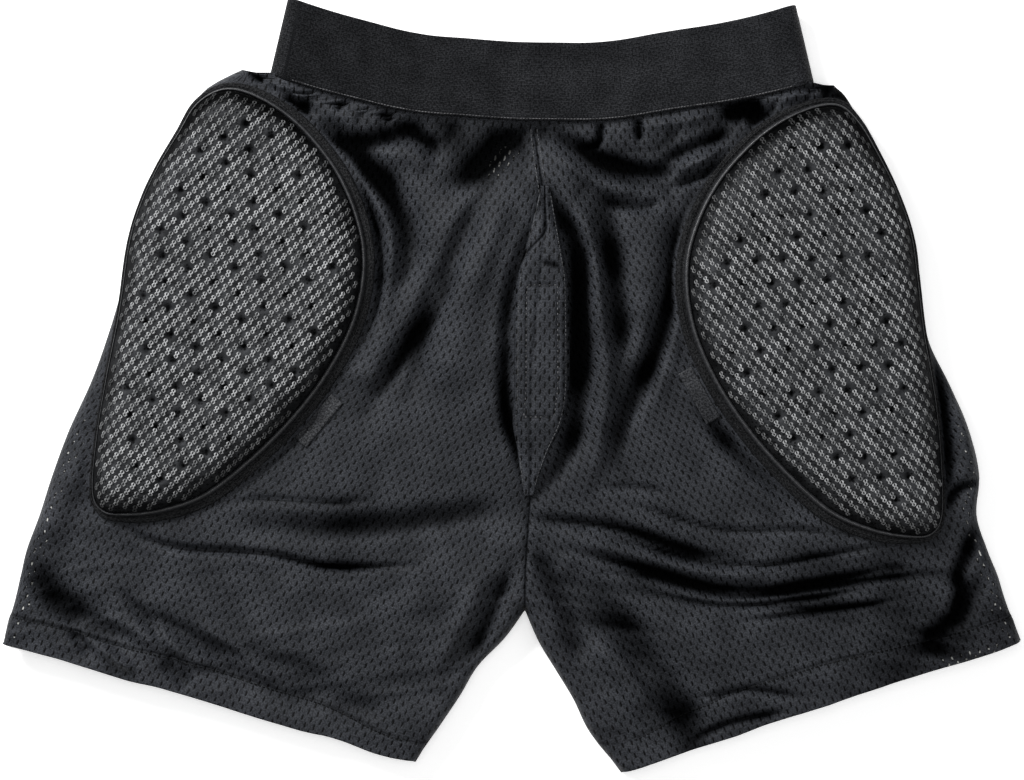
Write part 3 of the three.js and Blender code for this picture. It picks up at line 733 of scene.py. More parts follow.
@dataclass(frozen=True)
class Plan:
    """Outline of the garment as it lies, seen from above."""

    waist_half: float = 164 * MM
    waist_shift: float = 18 * MM
    waist_bow: float = 28 * MM
    hip_half: float = 241.5 * MM
    hem_half: float = 306.5 * MM
    body_length: float = 391 * MM
    band_height: float = 47 * MM
    band_loft: float = 19.9 * MM
    tuck: float = 6 * MM  # cloth caught inside the waistband
    clearance: float = 0.3 * MM

    def band_edge(self, x: Array) -> Array:
        """Height of the waistband's lower edge above its middle."""
        return self.waist_bow * ((x - self.waist_shift) / self.waist_half) ** 2

    def spot(self, across: float, down: float) -> tuple[float, float]:
        """A place given in shares of the hip's half width and of the body's length."""
        return self.hip_half * across, -self.body_length * down

    def line(self, shares: Sequence[tuple[float, float]]) -> Array:
        """Points of a line given in shares."""
        return np.array([self.spot(across, down) for across, down in shares])

    def ends(self, v: Array, side: Side) -> tuple[Array, Array, Array, Array, Array]:
        """Ends of the rows at places down the garment.

        Args:
            v: Places, whole at a row of the table.
            side: Which half.

        Returns:
            Outer X and Y, inner X and Y, and the bow of each row.
        """
        sign, leg = side.value, 0 if side is Side.LEFT else 1
        halves = {Span.WAIST: self.waist_half, Span.HIP: self.hip_half, Span.HEM: self.hem_half}
        out_x = np.array([self.waist_shift * r.centre + sign * halves[r.of] * r.half for r in ROWS])
        out_y = np.array([self.waist_bow * r.rise - self.body_length * r.out for r in ROWS])
        inner = np.array([self.spot(r.legs[leg], r.legs[2 + leg]) if r.legs else self.spot(r.seam, r.inner)
                          for r in ROWS])
        bow = np.array([r.bow for r in ROWS])
        upper = spline(inner[: CROTCH_ROW + 1], v)
        lower = spline(inner[CROTCH_ROW:], v - CROTCH_ROW)
        middle = np.where((v > CROTCH_ROW)[:, None], lower, upper)
        return spline(out_x, v), spline(out_y, v), middle[:, 0], middle[:, 1], spline(bow, v)

    def place(self, u: Array, v: Array, side: Side) -> tuple[Array, Array]:
        """Places on one half, from the middle (u 0) to the side seam (u 1)."""
        out_x, out_y, in_x, in_y, bow = self.ends(np.maximum(v, 0.0), side)
        x, y = mix(in_x, out_x, u), mix(in_y, out_y, u**bow)
        seam = self.hip_half * ROWS[0].seam
        end = self.waist_shift + side.value * (self.waist_half - self.band_loft / 2)
        caught_x = mix(seam, end, u)
        edge = self.tuck * np.interp(v, (-2, -1, 0), (1, 0.6, -0.25))
        caught_y = self.band_edge(caught_x) + edge
        share = np.clip(v + 1, 0, 1)
        return mix(caught_x, x, share), mix(caught_y, y, share)

    def side_seam(self, side: Side) -> Array:
        """Points of a side seam, from the waistband to the hem."""
        out_x, out_y, *_ = self.ends(np.linspace(0, len(ROWS) - 1, 91), side)
        return np.stack([out_x, out_y], axis=1)

    def inseam(self, side: Side) -> Array:
        """Points of the seam inside a leg, from the crotch to the hem."""
        _, _, in_x, in_y, _ = self.ends(np.linspace(CROTCH_ROW, len(ROWS) - 1, 31), side)
        return np.stack([in_x, in_y], axis=1)

    def kept_inside(self, points: Array, side: Side, inset: float) -> Array:
        """Points kept a distance inside the side seam of their half."""
        seam = self.side_seam(side)[::-1]
        edge = np.interp(points[:, 1], seam[:, 1], seam[:, 0])
        slope = np.interp(points[:, 1], seam[:, 1], np.gradient(seam[:, 0], seam[:, 1]))
        limit = edge - side.value * inset * np.hypot(1, slope)
        kept = np.maximum(points[:, 0], limit) if side is Side.LEFT else np.minimum(points[:, 0], limit)
        free = points[:, 1] > seam[-1, 1]
        return np.stack([np.where(free, points[:, 0], kept), points[:, 1]], axis=1)


PLAN = Plan()


@dataclass(frozen=True)
class OutlineRow:
    """A point of a pad's outline, by shares of the pad's size.

    Attributes:
        along: Distance from the pad's top.
        across: Distance from the line that joins its top and its tip.
        tape: Width that the binding has there.
    """

    along: float
    across: float
    tape: float


HIP_OUTLINE = (
    OutlineRow(0, 0, 0.6), OutlineRow(0, 0.15, 0.75), OutlineRow(0.035, 0.33, 0.85),
    OutlineRow(0.11, 0.525, 0.9), OutlineRow(0.205, 0.665, 0.95), OutlineRow(0.3, 0.74, 0.95),
    OutlineRow(0.42, 0.76, 1), OutlineRow(0.545, 0.72, 1), OutlineRow(0.665, 0.64, 1),
    OutlineRow(0.78, 0.53, 1), OutlineRow(0.89, 0.39, 1), OutlineRow(0.955, 0.235, 0.9),
    OutlineRow(0.99, 0.09, 0.7), OutlineRow(0.995, 0.01, 0.5), OutlineRow(0.96, -0.045, 0.35),
    OutlineRow(0.85, -0.09, 0.3), OutlineRow(0.71, -0.125, 0.3), OutlineRow(0.55, -0.155, 0.3),
    OutlineRow(0.415, -0.22, 0.3), OutlineRow(0.325, -0.237, 0.3), OutlineRow(0.225, -0.215, 0.3),
    OutlineRow(0.13, -0.17, 0.35), OutlineRow(0.05, -0.107, 0.45),
)


@dataclass(frozen=True)
class HipPadPlan:
    """Where a hip pad lies and how large it is."""

    side: Side
    across: float  # its top, share of half the hip width
    down: float  # its top, share of the body's length
    lean: float  # degrees that it leans out at the bottom
    label: float  # how far down its label lies, share of its length
    length: float = 262 * MM
    width: float = 145 * MM
    inset: float = 4.6 * MM
    tape_width: float = 8.5 * MM

    def local(self, along: Array, across: Array) -> Array:
        """Places on the garment of places on the pad."""
        turn, sign = math.radians(self.lean), self.side.value
        top_x, top_y = PLAN.spot(self.across, self.down)
        x = top_x + sign * (along * math.sin(turn) - across * math.cos(turn))
        y = top_y - along * math.cos(turn) - across * math.sin(turn)
        return np.stack([x, y], axis=-1)

    def outline(self, count: int) -> tuple[Array, Array]:
        """Points of the pad's outline and the binding's width at each."""
        along = np.array([r.along for r in HIP_OUTLINE]) * self.length
        across = np.array([r.across for r in HIP_OUTLINE]) * self.width
        points = PLAN.kept_inside(self.local(along, across), self.side, self.inset)
        tape = np.array([r.tape for r in HIP_OUTLINE]) * self.tape_width
        line = even_line(np.column_stack([points, tape]), count, closed=True)
        least = (self.inset - PLAN.clearance) / 2
        return line[:, :2], np.maximum(line[:, 2], least)


HIP_PADS = (
    HipPadPlan(Side.LEFT, across=-0.705, down=-0.046, lean=17, label=0.71),
    HipPadPlan(Side.RIGHT, across=0.8, down=-0.022, lean=13, label=0.6),
)

TAIL_HALF = ((0, 0), (0, 0.6), (0.05, 0.88), (0.25, 1), (0.5, 0.92), (0.75, 0.66), (0.93, 0.32), (1, 0))


@dataclass(frozen=True)
class TailPadPlan:
    """Where the tailbone pad lies and how large it is."""

    length: float = 140 * MM
    width: float = 110 * MM
    drop: float = 0.1  # from the waistband to its top, share of the body's length
    middle: float = 0.082  # of the back, share of half the hip width

    def centre(self) -> tuple[float, float]:
        """The middle of the pad's top edge."""
        return PLAN.spot(self.middle, self.drop)

    def outline(self, count: int) -> Array:
        """Points of the pad's outline, a shield."""
        x, y = self.centre()
        right = [(x + half * self.width / 2, y - along * self.length) for along, half in TAIL_HALF]
        left = [(2 * x - px, py) for px, py in right[1:-1]][::-1]
        return even_line(np.array(right + left), count, closed=True)


@dataclass(frozen=True)
class PlacketPlan:
    """Where the fly placket lies, from its pointed top to its tapered end."""

    across: float = 0.082
    down: float = 0.1
    drift: float = -0.008
    hook: float = -0.032  # sideways turn of its tapered end
    length: float = 185 * MM
    width: float = 33 * MM
    halves: tuple[tuple[float, float], ...] = (
        (0, 0.16), (0.11, 0.43), (0.22, 0.72), (0.32, 0.95), (0.5, 1), (0.65, 1), (0.76, 0.92),
        (0.86, 0.55), (1, 0.16),
    )  # half width at shares of its length

    def section(self, along: Array) -> tuple[Array, Array, Array]:
        """Middle X, Y and half width at shares of the placket's length."""
        shares, halves = np.array(self.halves).T
        half = np.interp(along, np.linspace(0, 1, 65), even_profile(shares, halves)) * self.width / 2
        y = -PLAN.body_length * self.down - along * self.length
        bend = self.drift * smooth(along / 0.4) + self.hook * smooth((along - 0.62) / 0.38)
        return PLAN.hip_half * (self.across + bend), y, half

    def outline(self) -> Array:
        """Points of the placket's outline."""
        x, y, half = self.section(np.linspace(0, 1, 25))
        return np.concatenate([np.stack([x - half, y], 1), np.stack([x + half, y], 1)[::-1]])


def even_profile(places: Array, values: Array) -> Array:
    """A smooth profile through uneven rows, at 65 even places from 0 to 1."""
    dense = np.linspace(0, len(places) - 1, 400)
    return np.interp(np.linspace(0, 1, 65), spline(places, dense), spline(values, dense))


@dataclass(frozen=True)
class Fold:
    """A fold of the front.

    Attributes:
        width: Its half width, a share of the usual one.
        height: Above zero a crest, below zero a trough, a share of the usual height.
        line: Its places, shares of half the hip width and of the body's length.
        form: Its section.
    """

    name: str
    width: float
    height: float
    line: tuple[tuple[float, float], ...]
    form: FoldForm = FoldForm.ROUND


FOLDS = (
    Fold("fly groove right", 0.36, -1.3,
         ((0.089, 0.104), (0.124, 0.141), (0.144, 0.169), (0.164, 0.215), (0.169, 0.273), (0.166, 0.396),
          (0.154, 0.473), (0.114, 0.534), (0.065, 0.568))),
    Fold("fly groove left", 0.2, -1.1,
         ((0.062, 0.143), (0.035, 0.192), (0.005, 0.235), (-0.01, 0.288), (-0.017, 0.365), (-0.015, 0.442),
          (0.015, 0.503), (0.037, 0.562))),
    Fold("fly ridge right", 0.3, 0.75,
         ((0.107, 0.097), (0.159, 0.141), (0.196, 0.189), (0.216, 0.273), (0.234, 0.396), (0.219, 0.503),
          (0.184, 0.56))),
    Fold("valley right of the ridge", 0.45, -0.85,
         ((0.209, 0.104), (0.234, 0.143), (0.248, 0.203), (0.263, 0.273), (0.288, 0.381))),
    Fold("front ridge right", 0.6, 0.42, ((0.36, 0.12), (0.35, 0.212), (0.325, 0.319), (0.3, 0.42))),
    Fold("pad side valley right", 0.4, -1.15,
         ((0.5, 0.09), (0.427, 0.181), (0.395, 0.273), (0.33, 0.393), (0.253, 0.476), (0.29, 0.54))),
    Fold("pad side ridge right", 0.35, 0.4,
         ((0.52, 0.13), (0.45, 0.2), (0.43, 0.28), (0.37, 0.39), (0.31, 0.46))),
    Fold("front diagonal left", 0.3, -1.15,
         ((-0.06, 0.101), (-0.109, 0.158), (-0.149, 0.215), (-0.179, 0.273), (-0.261, 0.342),
          (-0.358, 0.445))),
    Fold("thin place left", 0.5, -0.6,
         ((0.045, -0.006), (-0.037, 0.041), (-0.112, 0.084), (-0.184, 0.115))),
    Fold("front crest left", 0.4, 0.45, ((-0.017, 0.12), (-0.062, 0.196), (-0.104, 0.273))),
    Fold("front inner left", 0.33, -0.6, ((-0.18, 0.21), (-0.209, 0.288), (-0.235, 0.35), (-0.243, 0.42))),
    Fold("front cheek left", 0.7, 0.45, ((-0.1, 0.19), (-0.13, 0.29), (-0.17, 0.42))),
    Fold("front cheek low left", 0.6, 0.3, ((-0.3, 0.3), (-0.33, 0.36), (-0.36, 0.42))),
    Fold("crescent left", 0.42, -1.0,
         ((-0.48, -0.025), (-0.45, 0.01), (-0.36, 0.07), (-0.275, 0.13), (-0.25, 0.2), (-0.285, 0.28))),
    Fold("crescent crest left", 0.24, 0.75,
         ((-0.575, -0.03), (-0.54, 0.0), (-0.42, 0.055), (-0.33, 0.125), (-0.295, 0.2), (-0.32, 0.28))),
    Fold("pad rim valley left", 0.3, -0.95,
         ((-0.56, 0.0), (-0.44, 0.075), (-0.375, 0.13), (-0.34, 0.2), (-0.345, 0.27), (-0.39, 0.36))),
    Fold("pad low valley left", 0.3, -0.4, ((-0.46, 0.43), (-0.58, 0.5), (-0.75, 0.59))),
    Fold("crotch fork left", 0.4, -0.62, ((0.025, 0.59), (-0.18, 0.605), (-0.43, 0.623), (-0.713, 0.626))),
    Fold("thigh crease left", 0.11, -0.8,
         ((-0.969, 0.617), (-0.927, 0.638), (-0.82, 0.655), (-0.701, 0.658), (-0.574, 0.667),
          (-0.452, 0.683), (-0.229, 0.681))),
    Fold("thigh fine left", 0.1, -0.35, ((-0.738, 0.588), (-0.626, 0.58), (-0.477, 0.585), (-0.328, 0.58))),
    Fold("leg streak left", 0.15, -0.5,
         ((-0.986, 0.714), (-0.912, 0.763), (-0.872, 0.796), (-0.807, 0.853))),
    Fold("leg low shade left", 0.35, -0.4,
         ((-0.788, 0.803), (-0.676, 0.818), (-0.539, 0.838), (-0.427, 0.872))),
    Fold("crotch fork right", 0.17, -0.85,
         ((0.04, 0.608), (0.164, 0.615), (0.268, 0.623), (0.358, 0.641), (0.467, 0.664), (0.566, 0.672))),
    Fold("thigh valley right", 0.15, -0.85,
         ((0.119, 0.657), (0.219, 0.669), (0.288, 0.678), (0.38, 0.694), (0.502, 0.715), (0.621, 0.718),
          (0.743, 0.709), (0.964, 0.683))),
    Fold("thigh crease one right", 0.11, -0.6,
         ((0.229, 0.692), (0.355, 0.698), (0.514, 0.726), (0.629, 0.727), (0.773, 0.714), (0.964, 0.698),
          (1.068, 0.695))),
    Fold("thigh crease two right", 0.1, -0.45,
         ((0.194, 0.634), (0.318, 0.649), (0.467, 0.675), (0.616, 0.681), (0.765, 0.666), (0.976, 0.643))),
    Fold("thigh crease three right", 0.1, -0.45,
         ((0.318, 0.718), (0.517, 0.743), (0.716, 0.733), (0.889, 0.715))),
    Fold("thigh crease four right", 0.1, -0.4,
         ((0.219, 0.58), (0.343, 0.595), (0.517, 0.626), (0.716, 0.626), (0.865, 0.635), (1.031, 0.621))),
    Fold("thigh fine one right", 0.1, -0.35, ((0.566, 0.767), (0.79, 0.749), (0.964, 0.733))),
    Fold("thigh fine two right", 0.1, -0.35, ((0.219, 0.562), (0.318, 0.56), (0.393, 0.572))),
    Fold("thigh crest right", 0.2, 0.4, ((0.157, 0.641), (0.318, 0.666), (0.492, 0.692), (0.666, 0.697))),
    Fold("thigh fine crease right", 0.14, -0.35,
         ((0.5, 0.735), (0.75, 0.748), (0.95, 0.735)), FoldForm.CREASE),
    Fold("inseam valley right", 0.3, -0.95,
         ((0.052, 0.654), (0.082, 0.687), (0.109, 0.718), (0.142, 0.772), (0.176, 0.838))),
    Fold("inseam shade right", 0.9, -0.6, ((0.109, 0.687), (0.181, 0.741), (0.243, 0.81))),
    Fold("inseam crest right", 0.25, 0.55, ((0.2, 0.79), (0.27, 0.85), (0.33, 0.92))),
    Fold("leg wedge right", 0.6, -1.15,
         ((0.229, 0.733), (0.313, 0.81), (0.388, 0.872), (0.432, 0.921), (0.447, 0.971))),
    Fold("leg wedge edge right", 0.16, 0.5, ((0.239, 0.795), (0.303, 0.853), (0.355, 0.905))),
    Fold("inseam valley left", 0.26, -0.75, ((0.0, 0.68), (-0.05, 0.749), (-0.109, 0.83))),
    Fold("inseam crest left", 0.3, 0.4, ((-0.07, 0.69), (-0.13, 0.77), (-0.19, 0.85))),
    Fold("side valley right", 0.25, -0.95,
         ((1.153, 0.617), (1.133, 0.66), (1.111, 0.695), (1.12, 0.726), (1.091, 0.76))),
    Fold("side hook right", 0.16, -0.7, ((1.163, 0.552), (1.118, 0.56), (1.091, 0.577), (1.073, 0.598))),
    Fold("side low shade right", 0.3, -0.45,
         ((1.175, 0.68), (1.125, 0.749), (1.039, 0.795), (1.113, 0.81))),
    Fold("side swell right", 0.4, 0.55, ((1.1, 0.42), (1.125, 0.5), (1.125, 0.575))),
    Fold("pad side groove right", 0.22, -0.9, ((1.03, 0.35), (1.068, 0.43), (1.078, 0.52), (1.06, 0.6))),
    Fold("side valley left", 0.5, -0.75,
         ((-1.217, 0.675), (-1.16, 0.71), (-1.086, 0.749), (-1.011, 0.776), (-0.924, 0.81))),
    Fold("hem ripple left one", 0.3, 0.4, ((-1.1, 0.74), (-0.9, 0.79), (-0.7, 0.85))),
    Fold("hem ripple left two", 0.24, -0.45, ((-0.92, 0.75), (-0.75, 0.81), (-0.66, 0.87))),
    Fold("hem ripple left three", 0.2, 0.35, ((-0.8, 0.76), (-0.66, 0.82), (-0.56, 0.89))),
    Fold("hem trough left", 0.35, -0.35, ((-0.62, 0.84), (-0.45, 0.88), (-0.3, 0.92))),
    Fold("hem crease right", 0.16, -0.7, ((0.467, 0.885), (0.604, 0.872), (0.728, 0.887)), FoldForm.CREASE),
    Fold("hem fold right", 0.12, -0.5, ((0.44, 0.955), (0.53, 0.925), (0.62, 0.912), (0.69, 0.905))),
    Fold("hem nick left", 0.16, -0.8, ((-1.1, 0.78), (-1.07, 0.8), (-1.05, 0.82))),
    Fold("hem puff left", 0.2, 0.5, ((-1.03, 0.8), (-0.98, 0.825), (-0.93, 0.84))),
    Fold("hem dip left", 0.25, -0.7, ((-0.87, 0.825), (-0.83, 0.85), (-0.8, 0.87))),
    Fold("hem shade left", 0.4, -0.6, ((-0.8, 0.83), (-0.66, 0.86), (-0.53, 0.885), (-0.44, 0.912))),
    Fold("side wedge left", 0.45, -0.7, ((-1.2, 0.69), (-1.13, 0.74), (-1.05, 0.765))),
    Fold("yoke valley right", 0.26, -0.75,
         ((0.089, 0.018), (0.169, 0.038), (0.224, 0.058), (0.355, 0.075), (0.467, 0.064))),
    Fold("yoke crest right", 0.26, 0.6, ((0.099, 0.051), (0.164, 0.077), (0.243, 0.101), (0.33, 0.107))),
    Fold("yoke shelf right", 0.2, -0.6, ((0.219, 0.12), (0.318, 0.132), (0.38, 0.12))),
    Fold("yoke dart right", 0.2, -0.7, ((0.37, 0.063), (0.45, 0.038), (0.55, 0.012))),
    Fold("yoke dart low right", 0.2, 0.6, ((0.38, 0.08), (0.48, 0.058), (0.56, 0.035))),
    Fold("yoke valley left", 0.3, -0.55, ((-0.49, -0.01), (-0.46, 0.01), (-0.37, 0.03), (-0.2, 0.0))),
    Fold("yoke pocket left", 0.4, 0.35, ((-0.33, 0.05), (-0.25, 0.05), (-0.2, 0.08))),
    Fold("yoke drop left", 0.25, -0.45, ((-0.27, 0.005), (-0.21, 0.028), (-0.19, 0.065))),
    Fold("shoulder left", 0.3, 0.55, ((-0.76, -0.05), (-0.71, -0.065), (-0.67, -0.07))),
    Fold("shoulder nook left", 0.16, -1.2, ((-0.665, -0.085), (-0.64, -0.07), (-0.625, -0.045))),
    Fold("shoulder puff left", 0.4, 0.6, ((-0.61, -0.05), (-0.57, -0.04))),
    Fold("triangle left", 0.24, -1.5, ((-0.575, -0.03), (-0.545, -0.027), (-0.5, -0.015))),
    Fold("band dart left one", 0.13, -1.0, ((-0.515, -0.07), (-0.51, -0.04))),
    Fold("band dart left two", 0.13, -0.8, ((-0.43, -0.045), (-0.425, -0.02))),
    Fold("band dart left three", 0.13, -0.8, ((-0.33, -0.03), (-0.3, 0.0))),
    Fold("band dart right one", 0.13, -1.0, ((0.312, -0.02), (0.318, 0.03))),
    Fold("band dart right two", 0.13, -0.8, ((0.22, -0.01), (0.215, 0.03), (0.17, 0.045))),
    Fold("pillow right", 0.35, 0.5, ((0.34, 0.0), (0.42, -0.005), (0.5, -0.02))),
    Fold("groove low right", 0.17, -0.9, ((0.4, 0.1), (0.48, 0.077), (0.56, 0.05))),
    Fold("nook right", 0.32, -1.4, ((0.53, 0.0), (0.57, -0.02), (0.615, -0.01), (0.625, 0.015))),
    Fold("shoulder right", 0.4, 0.6, ((0.64, 0.005), (0.7, -0.03), (0.79, -0.045))),
    Fold("shoulder nick right", 0.2, -0.9, ((0.6, 0.03), (0.64, 0.0), (0.66, -0.04)), FoldForm.CREASE),
    Fold("shoulder nick far right", 0.16, -0.7, ((0.72, 0.0), (0.74, -0.05)), FoldForm.CREASE),
    Fold("leg side crest left", 0.5, 0.35, ((-1.05, 0.5), (-1.12, 0.58), (-1.15, 0.66))),
    Fold("low pad crest right", 0.4, 0.35, ((0.5, 0.5), (0.65, 0.58), (0.85, 0.635))),
    Fold("low pad valley right", 0.26, -0.5, ((0.44, 0.4), (0.53, 0.49), (0.69, 0.58), (0.88, 0.632))),
)


@dataclass
class FrontForm:
    """Height of the front cloth over the garment.

    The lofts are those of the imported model: the cloth lies high in the middle, turns down to
    its seams, swells over the tailbone pad and is broken by folds, gathers and small waves.
    """

    cloth: float = 1.3 * MM
    hem: float = 2.4 * MM
    body_loft: float = 15 * MM
    leg_loft: float = 12 * MM
    side_rise: float = 4 * MM
    roll: float = 6 * MM
    rest_gap: float = 0.45 * MM
    fold_width: float = 17 * MM
    fold_height: float = 9 * MM
    fold_reach: float = 3.2  # widths of a fold out to where it ends
    levelling: float = 1.25  # how soon folds that meet are levelled
    placket_share: float = 0.35  # of the folds that is left on the placket
    margin: float = 1.0 * MM
    fade: float = 7 * MM
    gather_height: float = 3.0 * MM
    gather_pitch: float = 17 * MM
    gather_length: float = 40 * MM
    lift: float = 9 * MM  # over the tailbone pad
    lift_spread: float = 0.65
    seam_groove: float = 1.0 * MM
    seam_width: float = 1.6 * MM
    seam_shade: float = 0.7  # painted shade in the seam's groove
    # painted shade in the troughs of the folds
    fold_shade: float = 1.05
    small_shade: float = 4.2 * MM  # depth of a small wave that gets the full painted shade
    side_shade: float = 1.1  # painted shade, a metre towards the right, as the light comes from the left
    top_shade: float = 0.22  # painted shade under the waistband
    # brightest painted highlight on a crest
    crest_limit: float = -0.8
    tail: TailPadPlan = field(default_factory=TailPadPlan)

    def __post_init__(self) -> None:
        """Works out the lines that the height depends on."""
        self.plateau = self.cloth + self.body_loft
        self.rest_plane = self.plateau + self.cloth + self.rest_gap
        self.back_top = self.side_rise + self.cloth
        self.seams = [line(side) for side in Side for line in (PLAN.side_seam, PLAN.inseam)]
        self.rims = []
        for pad in HIP_PADS:
            outline, tape = pad.outline(72)
            self.rims.append(grown(outline, tape + PLAN.clearance))
        self.placket_rim = PlacketPlan().outline()

    def free(self, x: Array, y: Array) -> Array:
        """How far places are free of the seams, from 0 on a seam to 1."""
        share = np.ones(x.shape)
        for seam in self.seams:
            near = near_line(x, y, seam, self.roll)
            if near.any():
                d = np.abs(to_line(x[near], y[near], seam)[0])
                share[near] *= np.sqrt(1 - (1 - np.clip(d / self.roll, 0, 1)) ** 2)
        return share

    def open_share(self, x: Array, y: Array) -> tuple[Array, Array]:
        """Shares of the crests and of the troughs that show beside pads, placket and waistband."""
        clear = PLAN.band_edge(x) - y
        for rim in self.rims:
            clear = np.minimum(clear, outside(x, y, rim))
        beside = smooth((outside(x, y, self.placket_rim) + self.fade) / self.fade)
        beside = mix(self.placket_share, 1, beside)
        crests = smooth((clear - self.margin) / self.fade)
        return crests * beside, smooth(clear / (0.45 * self.fade)) * beside

    def folds(self, x: Array, y: Array) -> Array:
        """Sum of the folds, in shares of the usual height, levelled where several meet."""
        total = np.zeros(x.shape)
        for fold in FOLDS:
            line = even_line(PLAN.line(fold.line), 14)
            width = self.fold_width * fold.width
            near = near_line(x, y, line, self.fold_reach * width)
            d, along = to_line(x[near], y[near], line)
            d = d / width
            ends = 0.15 + 0.85 * smooth(along * 4) * smooth((1 - along) * 4)
            sharp = fold.form is FoldForm.CREASE
            total[near] += fold.height * ends * (np.exp(-1.6 * np.sqrt(d * d + 0.02)) if sharp else bell(d))
        return np.tanh(self.levelling * total)

    def gathers(self, x: Array, y: Array) -> Array:
        """Small pleats under the waistband, deepest towards its ends."""
        drop = PLAN.band_edge(x) - y
        start = smooth((drop - 0.02 * self.gather_length) / (0.12 * self.gather_length))
        fall = np.exp(-np.clip(drop, 0, None) / (0.42 * self.gather_length))
        spread = np.abs(x - PLAN.waist_shift) / PLAN.waist_half
        strength = (0.45 + 1.1 * smooth((spread - 0.25) / 0.6)) * smooth((1.15 - spread) / 0.15)
        drift = 2.2 * noise(x, y, 34 * MM, 11) + 0.9 * noise(x, y, 12 * MM, 12)
        puffs = 0.0
        for pitch, wander, height in ((1.0, 1.0, 1.0), (0.43, 1.7, 0.45)):
            turn = math.pi * x / (pitch * self.gather_pitch) + wander * drift
            puffs = puffs + height * (np.sqrt(np.abs(np.sin(turn)) + 0.02) - 0.72)
        return self.gather_height * start * fall * strength * puffs

    def waves(self, x: Array, y: Array) -> Array:
        """Small unevenness of the cloth: broad swells, and fine drag lines on the legs."""
        down = -y / PLAN.body_length
        swell = 1.5 * noise(x, y, 46 * MM, 3) + 0.8 * noise(x, y, 21 * MM, 4) + 0.3 * noise(x, y, 10 * MM, 7)
        slant = y + 0.14 * np.abs(x)
        drag = 1 - np.abs(noise(x, slant * 5.5, 62 * MM, 5)) * 2
        creep = 1 - np.abs(noise(x * 0.8 + y, slant * 9, 48 * MM, 6)) * 2
        low, high = smooth((down - 0.5) / 0.25), smooth((0.36 - down) / 0.2)
        crumple = np.abs(noise(x, y, 27 * MM, 8)) * 3.2 - 1
        return MM * (swell + low * (0.55 * drag + 0.3 * creep) + high * crumple)

    def mound(self, x: Array, y: Array) -> Array:
        """How far the front is lifted over the tailbone pad."""
        middle, top = self.tail.centre()
        across = (x - middle * 0.6) / (self.tail.width * 0.75)
        r = np.hypot(across, (y - top) / self.tail.length + 0.45)
        below = smooth((PLAN.band_edge(x) - y) / (PLAN.body_length * self.tail.drop))
        return self.lift * below * smooth((1 - r) / self.lift_spread)

    def seam_dip(self, x: Array, y: Array) -> Array:
        """The shallow groove of the seam down the middle of the front."""
        line = np.array([PLAN.spot(r.seam, r.inner) for r in ROWS[: CROTCH_ROW + 1]])
        d, _ = to_line(x, y, line)
        return -self.seam_groove * bell(d / self.seam_width)

    def under(self, x: Array, y: Array) -> tuple[Array, Array]:
        """Underside of the front, and its painted shading: painted shade up to 1 in troughs, seams,
        towards the right and under the waistband, and below zero a painted highlight on crests.
        """
        down = -y / PLAN.body_length
        crotch = ROWS[CROTCH_ROW].out
        leg = smooth((down - crotch) / (1 - crotch))
        loft = mix(self.plateau, self.cloth + self.leg_loft, leg)
        crests, troughs = self.open_share(x, y)
        folds = self.folds(x, y)
        small = self.gathers(x, y) + self.waves(x, y)
        rise = self.fold_height * folds + small
        top = loft + self.mound(x, y) + np.where(rise > 0, crests, troughs) * rise + self.seam_dip(x, y)
        free = self.free(x, y)
        seam = bell((self.seam_dip(x, y) / self.seam_groove + 1.0) / 0.25)
        # Painted shade in troughs and small waves, towards the right and under the waistband, a painted
        # highlight on crests, and painted shade in the seam's groove.
        deep = troughs * (-self.fold_shade * folds - small / self.small_shade) + self.side_shade * x
        deep = np.clip(deep + self.top_shade * smooth((0.24 - down) / 0.16), self.crest_limit, 1)
        painted_shading = np.maximum(deep, self.seam_shade * seam)
        return mix(self.back_top + PLAN.clearance, top, free), painted_shading

    def rest(self, x: Array, y: Array) -> Array:
        """Top of the front, where labels, the placket and stitches lie."""
        return self.under(x, y)[0] + self.cloth


class Wardrobe:
    """Makes each finish once and hands it out."""

    def __init__(self) -> None:
        """Builds the finishes."""
        self.cloth = EyeletCloth().material()
        self.spacer = SpacerMesh().material()
        self.knots = Yarn(
            "mesh_knots", (0.115, 0.119, 0.123, 1), (0.43, 0.437, 0.444, 1), roughness=0.38, gloss=0.6
        ).material()
        self.thread = Yarn(
            "black_thread", (0.02, 0.0205, 0.022, 1), (0.095, 0.098, 0.104, 1), gloss=0.25
        ).material()
        self.dark_thread = Yarn(
            "dark_thread", (0.005, 0.0052, 0.0056, 1), (0.02, 0.0205, 0.022, 1), gloss=0.1
        ).material()
        self.edge_thread = Yarn(
            "edge_thread", (0.04, 0.04, 0.042, 1), (0.17, 0.17, 0.176, 1), roughness=0.55, gloss=0.15
        ).material()
        self.elastic = WovenTape(
            "waist_elastic", (0.0085, 0.009, 0.0105, 1), (0.0195, 0.0205, 0.0235, 1), sheen=0.015
        ).material()
        self.tape = WovenTape(
            "binding_tape", (0.004, 0.0042, 0.0047, 1), (0.009, 0.0094, 0.0105, 1),
            rib=0.8, pick=0.6, roughness=0.5,
        ).material()
        self.satin = WovenTape(
            "label_satin", (0.017, 0.018, 0.02, 1), (0.042, 0.0435, 0.048, 1),
            rib=0.35, pick=0.9, roughness=0.34, relief=0.05 * MM,
        ).material()
        self.piping = Piping().material()


def dress(piece: bpy.types.Object, material: bpy.types.Material, slot: str, *nodes: str) -> bpy.types.Object:
    """Gives a piece its finish and body, and hides the CAD nodes that it stands for.

    Args:
        piece: The piece.
        material: Its finish.
        slot: Not used.
        nodes: CAD nodes that it replaces.

    Returns:
        The piece.
    """
    piece.data.materials.clear()
    piece.data.materials.append(material)
    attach(piece, "root")
    if nodes:
        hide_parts(*nodes)
    LOG.info("%s: %d faces", piece.name, len(piece.data.polygons))
    return piece


def lifted(x: Array, y: Array, z: Array | float) -> Array:
    """Points of the garment in the shared frame."""
    return np.stack(np.broadcast_arrays(x, y + WAIST_LINE, z), axis=-1)


